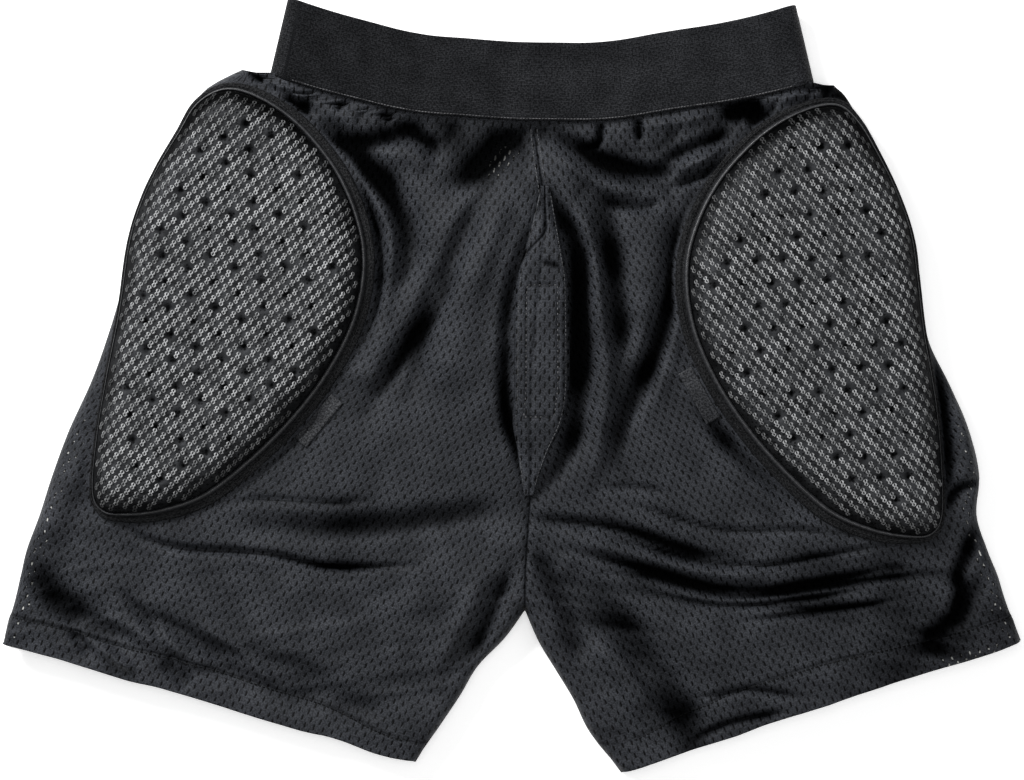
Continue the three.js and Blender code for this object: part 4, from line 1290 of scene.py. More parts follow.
@dataclass(frozen=True)
class Stitching:
    """A run of stitches sewn through the top of a piece.

    Attributes:
        pitch: From one stitch to the next.
        length: Of the thread that shows.
        radius: Of the thread.
    """

    pitch: float = 2.7 * MM
    length: float = 2.0 * MM
    radius: float = 0.33 * MM

    def shape(self, path: Array, painted_shading: Array | None = None) -> Shape:
        """The stitches along a path.

        Args:
            path: Points on the surface, one a row, in the shared frame.
            painted_shading: Painted shade at each of these points, if the thread is to take it.

        Returns:
            All the stitches, each a short thread that bends down at its ends.
        """
        far = travelled(path)
        count = max(2, int(far[-1] / self.pitch))
        places = (np.arange(count) + 0.5) * far[-1] / count
        behind, centres, ahead = (
            np.stack([np.interp(places + shift * self.length, far, axis) for axis in path.T], axis=1)
            for shift in (-0.5, 0.0, 0.5)
        )
        along = (ahead - behind) / self.length
        t = np.linspace(-0.5, 0.5, 5)
        arch = np.stack([t * self.length, 0 * t, self.radius * (0.8 - 5.2 * t * t)], axis=1)
        one = strand(arch, self.radius * np.array([0.6, 0.95, 1, 0.95, 0.6]), 5)
        up = np.tile([0.0, 0.0, 1.0], (count, 1))
        run = repeated(one, centres, along, up)
        # The threads take the painted shade of the cloth under them.
        if painted_shading is not None:
            run.layers["painted_shading"] = np.repeat(np.interp(places, far, painted_shading), len(one.vertices))
        return run


@dataclass
class Waistband:
    """The elastic waistband: a flattened ring with round folded ends."""

    finishes: Wardrobe
    wall: float = 2 * MM
    taper: float = 11 * MM
    step: float = 2.6 * MM
    turn_steps: int = 18
    levels: int = 22
    ripple: float = 0.7 * MM
    crease: float = 11 * MM  # place of the soft crease across the front
    edge_ripple: float = 0.8 * MM
    sag: float = 3.5 * MM  # of its right end
    shadow: float = 0.5  # depth of painted shade over the band, deepest at its left end
    thread_lift: float = 0.12 * MM

    def ring(self, inset: float) -> Array:
        """Stations round the band: distance from its middle and height from its mid plane."""
        radius = PLAN.band_loft / 2 - inset
        straight = PLAN.waist_half - PLAN.band_loft / 2
        run = np.linspace(-straight, straight, int(2 * straight / self.step), endpoint=False)
        angle = math.pi * np.arange(self.turn_steps) / self.turn_steps
        turn = np.stack([straight + radius * np.sin(angle), radius * np.cos(angle)], axis=1)
        half = np.concatenate([np.stack([run, np.full(len(run), radius)], axis=1), turn])
        return np.concatenate([half, -half])

    def surface(self, station: Array, t: float) -> Array:
        """Points at a share t of the band's height, 0 at its lower edge."""
        a, z = station[:, 0], station[:, 1]
        squeeze = mix(1.0, (PLAN.waist_half - self.taper) / PLAN.waist_half, t)
        x = PLAN.waist_shift + a * squeeze
        edge = PLAN.band_edge(PLAN.waist_shift + a)
        sag = -self.sag * smooth((a / PLAN.waist_half - 0.45) / 0.55)
        wander = self.edge_ripple * noise(a, z, 40 * MM, 21)
        y = edge + t * PLAN.band_height + sag + wander
        front = smooth(z / (4 * MM)) * smooth((PLAN.waist_half - PLAN.band_loft - np.abs(a)) / (30 * MM))
        bend = noise(a, 0 * a + t * 20 * MM, 55 * MM, 22) * 0.5 + 0.5
        crease = bell((a - self.crease + PLAN.waist_shift) / (9 * MM))
        swell = front * self.ripple * (bend + 1.1 * crease)
        return lifted(x, y, PLAN.band_loft / 2 + z + swell)

    def build(self) -> None:
        """Makes the band, and the thread that edges it."""
        shares = np.linspace(0.012, 0.988, self.levels)
        rows = [(0, t) for t in shares] + [(0.35, 1), (0.65, 1)]
        rows += [(1, t) for t in shares[::-3]] + [(0.65, 0), (0.35, 0)]
        rings = [self.surface(self.ring(inset * self.wall), float(t)) for inset, t in rows]
        shape = hoop(np.stack(rings, axis=1))
        around = travelled(self.ring(self.wall / 2), closed=True) / MM
        levels = np.array([t for _, t in rows])
        shape.layers["weave"] = ring_weave(around, levels * PLAN.band_height / MM)
        across = shape.vertices[:, 0] / PLAN.waist_half
        # Painted shade over the band, darker towards its left end.
        shape.layers["painted_shading"] = self.shadow * (1 - 0.4 * np.clip(across + 0.3, -0.7, 1))
        band = shape.build("waistband_elastic")
        dress(band, self.finishes.elastic, "waistband_elastic", "waistband")
        run = np.linspace(-0.975, 0.975, 240) * (PLAN.waist_half - PLAN.band_loft / 2)
        low = self.surface(np.stack([run, np.full(len(run), PLAN.band_loft / 2)], axis=1), 0.025)
        low[:, 2] += self.thread_lift
        stitches = Stitching(pitch=1.9 * MM, length=1.5 * MM, radius=0.24 * MM).shape(low)
        dress(stitches.build("waistband_edge_thread"), self.finishes.edge_thread, "waistband_elastic")


@dataclass
class Panel:
    """One half of the front or the back."""

    side: Side
    front: bool
    form: FrontForm
    finishes: Wardrobe
    step: float = 1.9 * MM
    back_step: float = 4.5 * MM
    grain: tuple[float, float] = (4.0, 16.0)  # lean of the eyelet rows at the waist and below, degrees
    seam_gap: float = 0.04 * MM
    shoulders: tuple[float, float] = (4.2 * MM, -5.0 * MM)  # rise beside the waistband, left and right
    hem_depths: tuple[tuple[float, ...], ...] = ((12, 20, 21, 20, 19), (18, 27, 27, 20, 19))  # mm, out
    hem_waver: float = 1.2 * MM
    hem_fade: float = 1.5 * MM
    hem_shade: float = 0.6  # painted shade along the hem's seam
    thin_place: tuple[float, float] = (-0.025, 0.055)  # where the ground shows through
    tail_thickness: float = 9 * MM
    tail_shoulder: float = 12 * MM
    tail_ramp: float = 20 * MM
    band_rest: float = 2.3 * MM
    peek: float = 1.6 * MM  # how far the back's hem shows below the front's
    take_up: float = 1.04  # cloth that the folds and gathers take
    cut_width: float = 330 * MM
    cut_length: float = 440 * MM

    def grid(self) -> tuple[Array, Array]:
        """Shares across and places down of the panel's grid of points."""
        step = self.step if self.front else self.back_step
        downs = [np.linspace(-2, -1, 4, endpoint=False), np.linspace(-1, 0, 3, endpoint=False)]
        for row in range(len(ROWS) - 1):
            fine = 0.65 if row >= HEM_ROW - 2 else 1.0
            count = max(2, int(PLAN.body_length * 0.062 / (fine * step)))
            downs.append(np.linspace(row, row + 1, count, endpoint=False))
        v = np.round(np.concatenate(downs + [[len(ROWS) - 1.0]]), 4)
        out_x, out_y, in_x, in_y, _ = PLAN.ends(np.maximum(v, 0), self.side)
        width = np.hypot(out_x - in_x, out_y - in_y)
        near = np.array([0, 0.06, 0.16, 0.3, 0.5, 0.75, 1.05]) * self.form.roll
        inner = int(width.mean() / step)
        t = np.linspace(0, 1, inner)[1:-1]
        start = near[None] / width[:, None]
        between = mix(start[:, -1:], 1 - start[:, -1:], t[None])
        u = np.concatenate([start, between, 1 - start[:, ::-1]], axis=1)
        return u, np.repeat(v[:, None], u.shape[1], axis=1)

    def plan(self, u: Array, v: Array) -> tuple[Array, Array]:
        """Places of the grid, with the seams' gaps."""
        x, y = PLAN.place(u.ravel(), v.ravel(), self.side)
        x, y = x.reshape(u.shape), y.reshape(u.shape)
        gap = np.where(v > CROTCH_ROW, PLAN.clearance, self.seam_gap / 2) * self.side.value
        x = x + gap * (u < 1e-9)
        edge = noise(x, y, 26 * MM, 31 + self.side.value) * smooth((v - HEM_ROW) / 1.0)
        y = y + self.hem_waver * edge
        if not self.front:
            y = y - self.peek * smooth((v - HEM_ROW - 0.3) / 0.7) * smooth(1.4 - u * 2.2)
        return x, y

    def raised(self, u: Array, v: Array) -> Array:
        """How far the shoulder stands up beside the waistband."""
        return self.shoulders[self.side is Side.RIGHT] * smooth((u - 0.78) / 0.2) * bell(v / 0.95)

    def hem_line(self, u: Array) -> tuple[Array, Array, Array]:
        """Places along the leg's lower edge, and how deep the doubled hem is there."""
        x, y = self.plan(u[None], np.full((1, len(u)), len(ROWS) - 1.0))
        depths = np.array(self.hem_depths[self.side is Side.RIGHT]) * MM
        return x[0], y[0], np.interp(u, np.linspace(0, 1, len(depths)), depths)

    def above_hem(self, x: Array, y: Array) -> tuple[Array, Array]:
        """How far places lie above the hem's seam and above the leg's lower edge."""
        edge_x, edge_y, depth = (line[:: self.side.value] for line in self.hem_line(np.linspace(0, 1, 80)))
        rise = y - np.interp(x, edge_x, edge_y)
        return rise - np.interp(x, edge_x, depth), rise

    def heights(self, x: Array, y: Array) -> tuple[Array, Array, Array]:
        """Lower and upper height of the cloth, thicker over the doubled hem, and its painted shading."""
        above, _ = self.above_hem(x, y)
        thick = mix(self.form.cloth, self.form.hem, smooth(-above / self.hem_fade))
        if self.front:
            under, painted_shading = self.form.under(x, y)
            # Painted shade along the hem's seam, over the front's own painted shading.
            return under, under + thick, np.maximum(painted_shading, self.hem_shade * bell(above / self.hem_fade))
        drop = PLAN.band_edge(x) - y
        band = self.band_rest * (1 - smooth((drop - PLAN.tuck / 4) / PLAN.tuck))
        d = outside(x, y, self.form.tail.outline(64))
        rise = self.tail_thickness + self.form.rest_gap
        seat = rise * smooth((self.tail_shoulder + self.tail_ramp - d) / self.tail_ramp)
        top = mix(self.form.back_top, thick + np.maximum(band, seat), self.form.free(x, y))
        return top - thick, top, np.zeros(x.shape)

    def weave(self, x: Array, y: Array) -> Array:
        """Places on the cut cloth in millimetres, along and across its eyelet rows."""
        share = smooth(-y / (0.6 * PLAN.body_length))
        turn = np.radians(mix(self.grain[0], self.grain[1], share)) * self.side.value
        out = np.clip(np.abs(to_line(x, y, PLAN.side_seam(self.side))[0]) / self.form.roll, 0, 1)
        x = x + self.side.value * self.form.plateau * (1 - np.sqrt(1 - (1 - out) ** 2))
        across = (x * np.cos(turn) + y * np.sin(turn)) / MM * self.side.value
        along = (y * np.cos(turn) - x * np.sin(turn)) / MM
        return np.stack([-across, along, 0 * x + (0 if self.front else 40)], axis=-1).reshape(-1, 3)

    def see_through(self, x: Array, y: Array) -> Array:
        """Where the pale ground shows through the eyelets: the sides, one hem and one thin place."""
        out = np.abs(to_line(x, y, PLAN.side_seam(self.side))[0])
        low = smooth((-y / PLAN.body_length - 0.35) / 0.15)
        spot = PLAN.spot(*self.thin_place)
        a, b = x - spot[0], y - spot[1]
        thin = bell((0.75 * a - 0.66 * b) / (8 * MM)) * bell((0.66 * a + 0.75 * b) / (17 * MM))
        side = low * smooth((22 * MM - out) / (18 * MM)) * smooth((out - 3 * MM) / (3 * MM))
        across, rise = x / PLAN.hip_half, self.above_hem(x, y)[1]
        rim = smooth((across - 0.98) / 0.08) * smooth((1.24 - across) / 0.06)
        rim = rim * smooth((8 * MM - rise) / (3 * MM))
        return np.clip(0.5 * side + 0.78 * thin + 0.5 * rim, 0, 1)

    def on_top(self, u: Array, v: Array) -> Array:
        """Points on the cloth's upper face in the shared frame."""
        x, y = self.plan(u, v)
        return lifted(x, y, self.heights(x, y)[1])

    def build(self) -> None:
        """Makes the panel."""
        u, v = self.grid()
        x, y = self.plan(u, v)
        low, high, painted_shading = self.heights(x, y)
        y = y + self.raised(u, v)
        shape = slab(lifted(x, y, high), lifted(x, y, low))
        shape.layers["weave"] = np.tile(self.weave(x, y), (2, 1))
        # Painted shade and painted highlight for the cloth's finish.
        shape.layers["painted_shading"] = np.tile(painted_shading.ravel(), 2)
        shape.layers["see_through"] = np.tile(self.see_through(x, y).ravel(), 2)
        face = "front" if self.front else "back"
        node = f"{self.side.label}_{face}_panel"
        self.piece = dress(shape.build(node + "_cloth"), self.finishes.cloth, "mesh_cloth", node)
        dx = np.diff(np.stack([x, y]), axis=2)[:, :-1]
        dy = np.diff(np.stack([x, y]), axis=1)[:, :, :-1]
        self.area = float(np.abs(dx[0] * dy[1] - dx[1] * dy[0]).sum()) * self.take_up

    def declare(self) -> None:
        """Does nothing."""


@dataclass(frozen=True)
class Cushion:
    """A foam pad under spacer mesh, crowned on top and flat underneath.

    Attributes:
        outline: Its edge, points one a row.
        base: Height of its underside.
        thickness: Its height at the middle.
        edge: Its height at the outline.
        bevel: Width over which it falls away.
        axis: Direction of its length on the garment, in degrees from straight down.
    """

    outline: Array
    base: float
    thickness: float
    edge: float
    bevel: float
    axis: float
    step: float = 1.0 * MM
    dimple_radius: float = 2.3 * MM
    dimple_depth: float = 1.9 * MM
    dimple_pitch: float = 16.8 * MM
    dimple_row: float = 13.2 * MM
    dimple_margin: float = 13 * MM
    shade: float = 0.42  # painted shade: how much darker the pad's upper end is painted
    shade_length: float = 60 * MM
    # painted shade where the pad falls away to its outline
    rim_shade: float = 0.66
    rim_width: float = 11 * MM

    def shaded(self, y: Array) -> Array:
        """Painted shade on the pad, deeper towards its upper end."""
        return self.shade * smooth(1 - (self.outline[:, 1].max() - y) / self.shade_length)

    def top(self, x: Array, y: Array) -> Array:
        """Height of the mesh above the underside, without its dimples."""
        depth = np.clip(-outside(x, y, self.outline) / self.bevel, 0, 1)
        return mix(self.edge, self.thickness, np.sin(depth * math.pi / 2) ** 0.9)

    def uneven(self, x: Array, y: Array) -> Array:
        """Small rise and fall of the foam."""
        return 0.35 * MM * noise(x, y, 24 * MM, 41)

    def frame(self) -> tuple[Array, Array]:
        """Directions along and across the pad."""
        turn = math.radians(self.axis)
        return np.array([math.sin(turn), -math.cos(turn)]), np.array([math.cos(turn), math.sin(turn)])

    def lattice(self, first: Array, second: Array, margin: float, stagger: bool = False) -> Array:
        """Places of a regular pattern inside the outline.

        Args:
            first: Step from one place to the next.
            second: Step from one row to the next.
            margin: Least distance from the outline.
            stagger: Whether every other row moves by half a step.

        Returns:
            The places, one a row.
        """
        middle = self.outline.mean(axis=0)
        reach = float(np.hypot(*(self.outline - middle).T).max())
        many = int(1.3 * reach / min(np.hypot(*first), np.hypot(*second))) + 3
        i, j = np.meshgrid(np.arange(-many, many + 1), np.arange(-many, many + 1))
        shift = np.where(stagger & (j % 2 == 1), 0.5, 0.0)
        spots = middle + (i + shift)[..., None] * first + j[..., None] * second
        spots = spots.reshape(-1, 2)
        return spots[outside(spots[:, 0], spots[:, 1], self.outline) < -margin]

    def dimples(self) -> Array:
        """Places of the perforations."""
        down, over = self.frame()
        tilt = math.radians(10.0)
        first = (over * math.cos(tilt) + down * math.sin(tilt)) * self.dimple_pitch
        second = (down * math.cos(tilt) - over * math.sin(tilt)) * self.dimple_row
        return self.lattice(first, second, self.dimple_margin, stagger=True)

    def spread(self) -> Array:
        """Places of the mesh's points: rows across the pad, closer together at its ends."""
        down, over = self.frame()
        a, c = self.outline @ down, self.outline @ over
        rows = int((a.max() - a.min()) / self.step)
        even = (np.arange(rows) + 0.35) / (rows - 0.3)
        levels = mix(a.min(), a.max(), mix(even, (1 - np.cos(math.pi * even)) / 2, 0.18))
        sides = []
        for level in levels:
            nxt_a, nxt_c = np.roll(a, -1), np.roll(c, -1)
            hit = (a > level) != (nxt_a > level)
            cross = c[hit] + (level - a[hit]) / (nxt_a[hit] - a[hit]) * (nxt_c[hit] - c[hit])
            sides.append((cross.min(), cross.max()))
        left, right = np.array(sides).T[..., None]
        t = np.linspace(0, 1, int((right.max() - left.min()) / self.step))
        across = mix(left, right, mix(t, smooth(t), 0.25))
        return across[..., None] * over + levels[:, None, None] * down

    def shape(self) -> Shape:
        """The pad's mesh."""
        flat = self.spread()
        x, y = flat[..., 0], flat[..., 1]
        z = self.top(x, y) + self.uneven(x, y)
        # Painted shade near the rim, in the dimples and towards the upper end.
        painted_shading = self.rim_shade * smooth(1 + outside(x, y, self.outline) / self.rim_width)
        for spot in self.dimples():
            r = np.hypot(x - spot[0], y - spot[1]) / self.dimple_radius
            z -= self.dimple_depth * np.exp(-(r**3) * 0.8)
            painted_shading = np.maximum(painted_shading, bell(r / 0.75))
        painted_shading = np.clip(painted_shading + self.shaded(y), 0, 1)
        count = x.size
        index = np.arange(count).reshape(x.shape)
        rim = rim_of(index)
        ring = flat.reshape(-1, 2)[rim]
        nxt = np.roll(np.arange(len(rim)), -1)
        foot, centre = count + np.arange(len(rim)), count + len(rim)
        wall = np.stack([rim, foot, foot[nxt], rim[nxt]], axis=1)
        fan = np.stack([foot[nxt], foot, np.full(len(rim), centre)], axis=1)
        top = lifted(x, y, self.base + z).reshape(-1, 3)
        bottom = lifted(*ring.T, self.base)
        vertices = np.concatenate([top, bottom, lifted(*ring.mean(axis=0), self.base)[None]])
        shape = Shape(vertices, [np.concatenate([quads(index), wall]), fan])
        shape.layers["weave"] = vertices / MM
        shape.layers["painted_shading"] = np.concatenate([painted_shading.ravel(), np.zeros(len(ring) + 1)])
        return shape


@dataclass(frozen=True)
class Knot:
    """A raised knot of the spacer mesh: two strands that bow apart and meet twice."""

    length: float = 4.5 * MM
    spread: float = 0.98 * MM
    radius: float = 0.55 * MM
    sink: float = 0.1 * MM
    arch: float = 0.5 * MM

    def shape(self) -> Shape:
        """One knot about its own origin, with its length along X."""
        t = np.array([0, 0.15, 0.31, 0.5, 0.69, 0.85, 1])
        bow = self.spread * np.array([0.25, 0.85, 1, 0.3, 1, 0.85, 0.25])
        rise = self.arch * np.sin(math.pi * t) - self.sink
        radius = self.radius * np.array([0.55, 0.95, 1, 0.85, 1, 0.95, 0.55])
        strands = []
        for sign in (-1, 1):
            path = np.stack([(t - 0.5) * self.length, sign * bow, rise], axis=1)
            strands.append(strand(path, radius, 4))
        return joined(strands)


PIPING_SECTION = (
    (0, 0), (0, 0.45), (0.02, 0.7), (0.08, 0.9), (0.16, 1), (0.25, 0.95), (0.33, 0.74), (0.37, 0.5),
)  # share of the binding's width, share of the piping's height
TAPE_SECTION = (
    (0.4, 0.82), (0.5, 1.0), (0.72, 1.0), (0.9, 0.92), (0.98, 0.8), (1, 0.5), (1, 0),
)  # share of the binding's width, share of the tape's thickness
TAIL_SECTION = (
    (0, 0), (0, 2.4), (0.03, 3.3), (0.1, 4.1), (0.2, 4.4), (0.3, 4.0), (0.37, 2.8), (0.42, 1.6),
    (0.5, 1.8), (0.75, 1.75), (0.96, 1.45), (1, 0.8), (1, 0),
)  # share of the tailbone pad's tape, height in millimetres


@dataclass
class HipPad:
    """A foam hip pad, its spacer mesh, piped binding and label."""

    plan: HipPadPlan
    form: FrontForm
    finishes: Wardrobe
    thickness: float = 16 * MM
    edge: float = 5 * MM
    bevel: float = 17 * MM
    knot_first: tuple[float, float] = (5.16 * MM, -2.04 * MM)
    knot_second: tuple[float, float] = (1.62 * MM, -5.28 * MM)
    knot_lean: float = 25.0
    knot_margin: float = 1.4 * MM
    piping_height: float = 4.6 * MM
    tape_thickness: float = 1.8 * MM
    label_length: float = 35 * MM
    label_width: float = 9 * MM
    label_thickness: float = 0.8 * MM
    label_cut_length: float = 37 * MM  # with the edges that are turned in
    label_cut_width: float = 10.5 * MM

    def cushion(self) -> Cushion:
        """The pad's form."""
        outline, _ = self.plan.outline(180)
        axis = self.plan.lean * self.plan.side.value
        return Cushion(outline, self.form.rest_plane, self.thickness, self.edge, self.bevel, axis)

    def build(self) -> None:
        """Makes the pad and everything sewn to it."""
        side = self.plan.side
        cushion = self.cushion()
        pad = cushion.shape().build(f"{side.label}_hip_pad_mesh")
        dress(pad, self.finishes.spacer, "pad_mesh", f"{side.label}_hip_pad")
        self.build_knots(cushion)
        self.build_binding()
        self.build_label()

    def build_knots(self, cushion: Cushion) -> None:
        """Makes the raised knots that cover the pad."""
        sign = -self.plan.side.value
        first, second = (np.array(step) * (sign, 1.0) for step in (self.knot_first, self.knot_second))
        spots = cushion.lattice(first, second, self.knot_margin)
        gaps = np.linalg.norm(spots[:, None] - cushion.dimples()[None], axis=2)
        x, y = spots[gaps.min(axis=1) > 0.95 * cushion.dimple_radius].T
        rng = np.random.default_rng(51 + sign)
        lean = math.radians(self.knot_lean) * sign + rng.normal(0, 0.05, len(x))
        direction = np.stack([np.sin(lean), np.cos(lean)], axis=1) * rng.uniform(0.92, 1.06, len(x))[:, None]
        tiny = 0.5 * MM
        slope_x = (cushion.top(x + tiny, y) - cushion.top(x - tiny, y)) / (2 * tiny)
        slope_y = (cushion.top(x, y + tiny) - cushion.top(x, y - tiny)) / (2 * tiny)
        rise = direction[:, 0] * slope_x + direction[:, 1] * slope_y
        along = np.column_stack([direction, rise])
        up = np.stack([-slope_x, -slope_y, np.ones(len(x))], axis=1)
        centres = lifted(x, y, cushion.base + cushion.top(x, y) + cushion.uneven(x, y))
        knot = Knot().shape()
        knots = repeated(knot, centres, along, up)
        # Painted shade near the pad's outline and towards its upper end, with patches of tone that differ at
        # random.
        edge = 1 - smooth((-outside(x, y, cushion.outline) - 1 * MM) / (9 * MM))
        patchy = 0.2 * (noise(x, y, 17 * MM, 43) + 1)
        painted_shading = np.clip(0.5 * edge + patchy + cushion.shaded(y), 0, 1)
        knots.layers["painted_shading"] = np.repeat(painted_shading, len(knot.vertices))
        piece = knots.build(f"{self.plan.side.label}_hip_pad_knots")
        dress(piece, self.finishes.knots, "pad_mesh")

    def build_binding(self) -> None:
        """Makes the piping, the flat tape outside it and their stitches."""
        outline, tape = self.plan.outline(300)
        base, gap = self.form.rest_plane, PLAN.clearance
        wave = 1 + 0.12 * noise(outline[:, 0], outline[:, 1], 13 * MM, 61)
        rows = [(s, h * self.piping_height) for s, h in PIPING_SECTION]
        rows += [(s, h * self.tape_thickness * wave) for s, h in TAPE_SECTION]
        rings = [lifted(*grown(outline, gap + s * tape).T, base + h) for s, h in rows]
        shape = hoop(np.stack(rings, axis=1))
        across = np.array([s for s, _ in rows])
        around = travelled(outline, closed=True) / MM
        shape.layers["weave"] = ring_weave(around, across[None] * tape[:, None] / MM)
        node = f"{self.plan.side.label}_hip_pad_binding"
        piece = dress(shape.build(node + "_tape"), self.finishes.tape, "binding_tape", node)
        piece.data.materials.append(self.finishes.piping)
        ring_count = len(across)
        for face in piece.data.polygons:
            if max(v % ring_count for v in face.vertices) < len(PIPING_SECTION):
                face.material_index = 1
        wide = tape > 5 * MM
        line = grown(outline, gap + 0.66 * tape)
        start = int(np.argmax(wide & ~np.roll(wide, 1)))
        order = np.roll(np.arange(len(outline)), -start)
        run = order[: int(wide.sum())]
        path = lifted(*line[run].T, base + self.tape_thickness)
        stitches = Stitching().shape(path)
        dress(stitches.build(node + "_stitches"), self.finishes.dark_thread, "binding_tape")

    def build_label(self) -> None:
        """Makes the small blank label beside the binding."""
        outline, tape = self.plan.outline(180)
        rim = grown(outline, tape + PLAN.clearance)
        target = self.plan.local(np.array(self.plan.label * self.plan.length), np.array(self.plan.width))
        i = int(np.argmin(np.hypot(*(rim - target).T)))
        chord = rim[(i + 4) % len(rim)] - rim[i - 4]
        chord /= np.hypot(*chord)
        out = np.array([chord[1], -chord[0]])
        if outside(*(rim[i] + out * MM)[:, None], rim)[0] < 0:
            out = -out
        gap = self.form.rest_gap + self.label_width * 0.12
        s, d = np.meshgrid(np.linspace(-0.5, 0.5, 41), np.linspace(0, 1, 13), indexing="ij")
        flat = rim[i] + (s * self.label_length)[..., None] * chord
        flat = flat + (gap + d * self.label_width)[..., None] * out
        x, y = flat[..., 0], flat[..., 1]
        low = self.form.rest(x, y) + self.form.rest_gap
        edge = smooth((0.5 - np.abs(s)) / 0.03) * smooth((0.5 - np.abs(d - 0.5)) / 0.08)
        fold = bell((np.abs(s) - 0.46) / 0.012)
        thick = self.label_thickness * (0.55 + 0.45 * edge - 0.25 * fold)
        shape = slab(lifted(x, y, low + thick), lifted(x, y, low))
        weave = np.stack([s * self.label_length / MM, d * self.label_width / MM, 0 * s], axis=-1)
        weave = weave.reshape(-1, 3)
        shape.layers["weave"] = np.tile(weave, (2, 1))
        node = f"{self.plan.side.label}_label"
        piece = dress(shape.build(node + "_satin"), self.finishes.satin, "label_satin", node)


@dataclass
class TailPad:
    """The tailbone pad under the seat, with its binding."""

    form: FrontForm
    finishes: Wardrobe
    thickness: float = 9 * MM
    edge: float = 4 * MM
    bevel: float = 10 * MM
    tape: float = 8 * MM

    def build(self) -> None:
        """Makes the pad and its binding."""
        outline = self.form.tail.outline(140)
        cushion = Cushion(outline, 0.0, self.thickness, self.edge, self.bevel, 0.0,
                          step=1.6 * MM, dimple_depth=1.2 * MM)
        pad = cushion.shape().build("tailbone_pad_mesh")
        dress(pad, self.finishes.spacer, "pad_mesh", "tailbone_pad")
        rings = [lifted(*grown(outline, PLAN.clearance + s * self.tape).T, h * MM) for s, h in TAIL_SECTION]
        shape = hoop(np.stack(rings, axis=1))
        across = np.array([s for s, _ in TAIL_SECTION]) * self.tape / MM
        shape.layers["weave"] = ring_weave(3.0 * np.arange(len(outline)), across)
        piece = shape.build("tailbone_pad_binding_tape")
        dress(piece, self.finishes.tape, "binding_tape", "tailbone_pad_binding")


@dataclass
class Placket:
    """The fly placket with its stitched box."""

    form: FrontForm
    finishes: Wardrobe
    plan: PlacketPlan = field(default_factory=PlacketPlan)
    thickness: float = 2.2 * MM
    rows: int = 180
    columns: int = 49
    box_top: float = 0.32
    box_end: float = 0.745
    box_half: float = 0.57  # of the placket's half width
    edge_line: float = 0.86  # where the stitches along its edges lie, the same way
    press: float = 0.8 * MM
    crease: float = 0.9 * MM
    area_share: float = 0.77  # of its flat length and width, as both ends taper

    def point(self, along: Array, across: Array) -> tuple[Array, Array]:
        """Places on the placket, across from -1 to 1."""
        x, y, half = self.plan.section(along)
        return x + across * half, y

    def top(self, along: Array, across: Array) -> Array:
        """Points on the placket's upper face in the shared frame."""
        x, y = self.point(along, across)
        return lifted(x, y, self.form.rest(x, y) + self.form.rest_gap + self.relief(along, across))

    def pressed(self, along: Array, across: Array) -> Array:
        """How far the cloth is drawn in along the stitched box, from 0 to 1."""
        sides = bell((np.abs(across) - self.box_half) / 0.05)
        inside_box = smooth((along - self.box_top) / 0.01) * smooth((self.box_end - along) / 0.01)
        ends = bell((along - self.box_top) / 0.008) + bell((along - self.box_end) / 0.008)
        return np.maximum(sides * inside_box, ends * smooth((self.box_half - np.abs(across)) / 0.05))

    def relief(self, along: Array, across: Array) -> Array:
        """Thickness of the placket, thin at its edge and pressed along its stitches."""
        rim = np.sqrt(np.clip(1 - np.abs(across) ** 6, 0, 1))
        body = self.thickness * (0.45 + 0.55 * rim)
        return body - self.press * self.pressed(along, across) - self.crease * self.crumple(along, across)

    def crumple(self, along: Array, across: Array) -> Array:
        """The creases above and below the stitched box, from 0 to 1."""
        slant = mix(-0.1, 0.15, np.sin(along / 0.2 * math.pi / 2)) - 1.1 * smooth((along - 0.13) / 0.1)
        lengthways = bell((across - slant) / 0.13) * smooth((0.26 - along) / 0.04)
        crosswise = bell((along - 0.245 - 0.02 * across) / 0.014)
        crosswise = crosswise * smooth((across + 0.15) / 0.3) * smooth((0.85 - across) / 0.2)
        low = bell((across - mix(-0.2, 0.1, (along - 0.8) / 0.2)) / 0.2) * smooth((along - 0.79) / 0.05)
        return np.clip(lengthways + crosswise + 0.6 * low, 0, 1)

    def build(self) -> None:
        """Makes the placket and its stitches."""
        s, t = np.meshgrid(np.linspace(0, 1, self.rows), np.linspace(-1, 1, self.columns), indexing="ij")
        x, y = self.point(s, t)
        low = self.form.rest(x, y) + self.form.rest_gap
        shape = slab(self.top(s, t), lifted(x, y, low))
        weave = np.stack([x / MM, y / MM, 0 * x + 80], axis=-1).reshape(-1, 3)
        shape.layers["weave"] = np.tile(weave, (2, 1))
        # Painted shade along the placket's edges, in its creases and along its pressed stitch lines.
        painted_shading = 0.5 * smooth((np.abs(t) - 0.9) / 0.1) + 0.8 * self.crumple(s, t) + 0.45 * self.pressed(s, t)
        shape.layers["painted_shading"] = np.tile(painted_shading.ravel(), 2)
        piece = dress(shape.build("fly_placket_cloth"), self.finishes.cloth, "mesh_cloth", "fly_placket")
        run = np.linspace(self.box_top, self.box_end, 60)
        ends = np.linspace(-self.box_half, self.box_half, 20)
        edge = np.linspace(0.03, 0.97, 120)
        box = [self.top(run, 0 * run + side * self.box_half) for side in (-1, 1)]
        box += [self.top(0 * ends + along, ends) for along in (self.box_top, self.box_end)]
        edges = [self.top(edge, 0 * edge + side * self.edge_line) for side in (-1, 1)]
        stitches = joined([Stitching(pitch=2.5 * MM, radius=0.26 * MM).shape(line) for line in edges])
        dress(stitches.build("fly_placket_stitches"), self.finishes.thread, "mesh_cloth")
        flecks = joined([Stitching(3.1 * MM, 1.5 * MM, 0.26 * MM).shape(line) for line in box])
        dress(flecks.build("fly_placket_box_stitches"), self.finishes.edge_thread, "mesh_cloth")


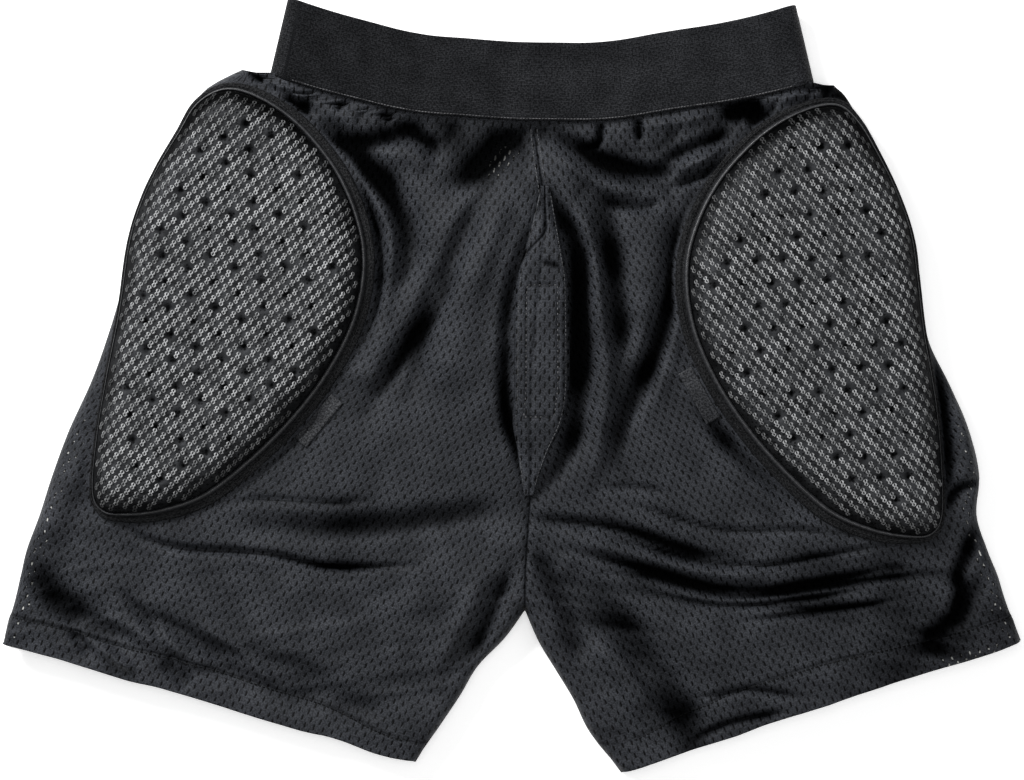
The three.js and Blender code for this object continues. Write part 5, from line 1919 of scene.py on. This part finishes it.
@dataclass
class SeamStitches:
    """Stitches of the hems and of the seam above the placket."""

    panels: Sequence[Panel]
    finishes: Wardrobe
    from_seam: float = 2.6 * MM
    below_fold: float = 1.2 * MM
    hem_thread: float = 0.42 * MM
    seam_thread: float = 0.28 * MM

    def build(self) -> None:
        """Makes the stitches of every front panel."""
        for panel in self.panels:
            if not panel.front:
                continue
            x, y, depth = panel.hem_line(np.linspace(0.03, 0.975, 260))
            y = y + depth - self.below_fold
            _, high, painted_shading = panel.heights(x, y)
            hem = lifted(x, y, high)
            v = np.linspace(-0.4, 3.6, 60)
            seam = panel.on_top(0 * v + self.from_seam / PLAN.hip_half, v)
            # The hem's stitches take the cloth's painted shade, made somewhat deeper.
            chain = Stitching(radius=self.hem_thread).shape(hem, np.clip(1.3 * painted_shading, 0, 1))
            dress(chain.build(f"{panel.side.label}_hem_stitches"), self.finishes.dark_thread, "mesh_cloth")
            stitches = Stitching(radius=self.seam_thread).shape(seam)
            dress(stitches.build(f"{panel.side.label}_front_stitches"), self.finishes.thread, "mesh_cloth")


@dataclass(frozen=True)
class Studio:
    """Floor, lights and camera."""

    view_width: float = 614.4 * MM
    view_height: float = 1.5
    subject_height: float = 17 * MM
    sensor: float = 36.0
    centre_y: float = -2.8 * MM
    floor_glow: float = 0.5
    sky: float = 0.22

    def lamp(self, name: str, place: tuple[float, float, float], size: float, power: float) -> None:
        """Adds a square soft light that faces the garment."""
        data = bpy.data.lights.new(name, "AREA")
        data.size, data.energy = size, power
        lamp = bpy.data.objects.new(name, data)
        lamp.location = place
        lamp.rotation_euler = (-Vector(place)).to_track_quat("-Z", "Y").to_euler()
        bpy.context.scene.collection.objects.link(lamp)

    def build(self) -> None:
        """Sets up everything round the garment."""
        bpy.ops.mesh.primitive_plane_add(size=8)
        floor = bpy.context.object
        floor.name = "studio_floor"
        floor.location.z = -0.5 * MM
        n = Nodes("pale_floor")
        tone = n.step(n.noise(n.add("TexCoord").outputs["Object"], 3.0), 0.3, 0.7)
        colour = n.blend(tone, (0.93, 0.93, 0.93, 1), (0.95, 0.95, 0.95, 1))
        floor.data.materials.append(n.finish(colour, 0.9, gloss=0.1))
        n.shader.inputs["Emission Color"].default_value = (1, 1, 1, 1)
        n.shader.inputs["Emission Strength"].default_value = self.floor_glow
        world = bpy.data.worlds.new("studio")
        world.use_nodes = True
        sky = world.node_tree.nodes["Background"].inputs
        sky["Color"].default_value = (1, 1, 1, 1)
        sky["Strength"].default_value = self.sky
        bpy.context.scene.world = world
        self.lamp("key", (-0.95, 1.0, 0.9), 0.5, 36)
        self.lamp("fill", (1.1, -0.5, 1.3), 1.2, 5)
        self.lamp("top", (-0.1, 0.2, 1.9), 1.0, 9)
        bpy.context.scene.view_settings.view_transform = "Standard"
        data = bpy.data.cameras.new("camera")
        distance = self.view_height - self.subject_height
        data.sensor_width = self.sensor
        data.lens = self.sensor * distance / self.view_width
        camera = bpy.data.objects.new("camera", data)
        camera.location = (0, self.centre_y, self.view_height)
        bpy.context.scene.collection.objects.link(camera)
        bpy.context.scene.camera = camera


def main() -> None:
    """Builds the studio and the garment, piece by piece."""
    logging.basicConfig(level=logging.INFO, format="%(name)s: %(message)s")
    Studio().build()
    form = FrontForm()
    finishes = Wardrobe()
    Waistband(finishes).build()
    TailPad(form, finishes).build()
    panels = [Panel(side, front, form, finishes) for side in Side for front in (False, True)]
    for panel in panels:
        panel.build()
    for panel in panels:
        panel.declare()
    for plan in HIP_PADS:
        HipPad(plan, form, finishes).build()
    Placket(form, finishes).build()
    SeamStitches(panels, finishes).build()


if __name__ == "__main__":
    main()
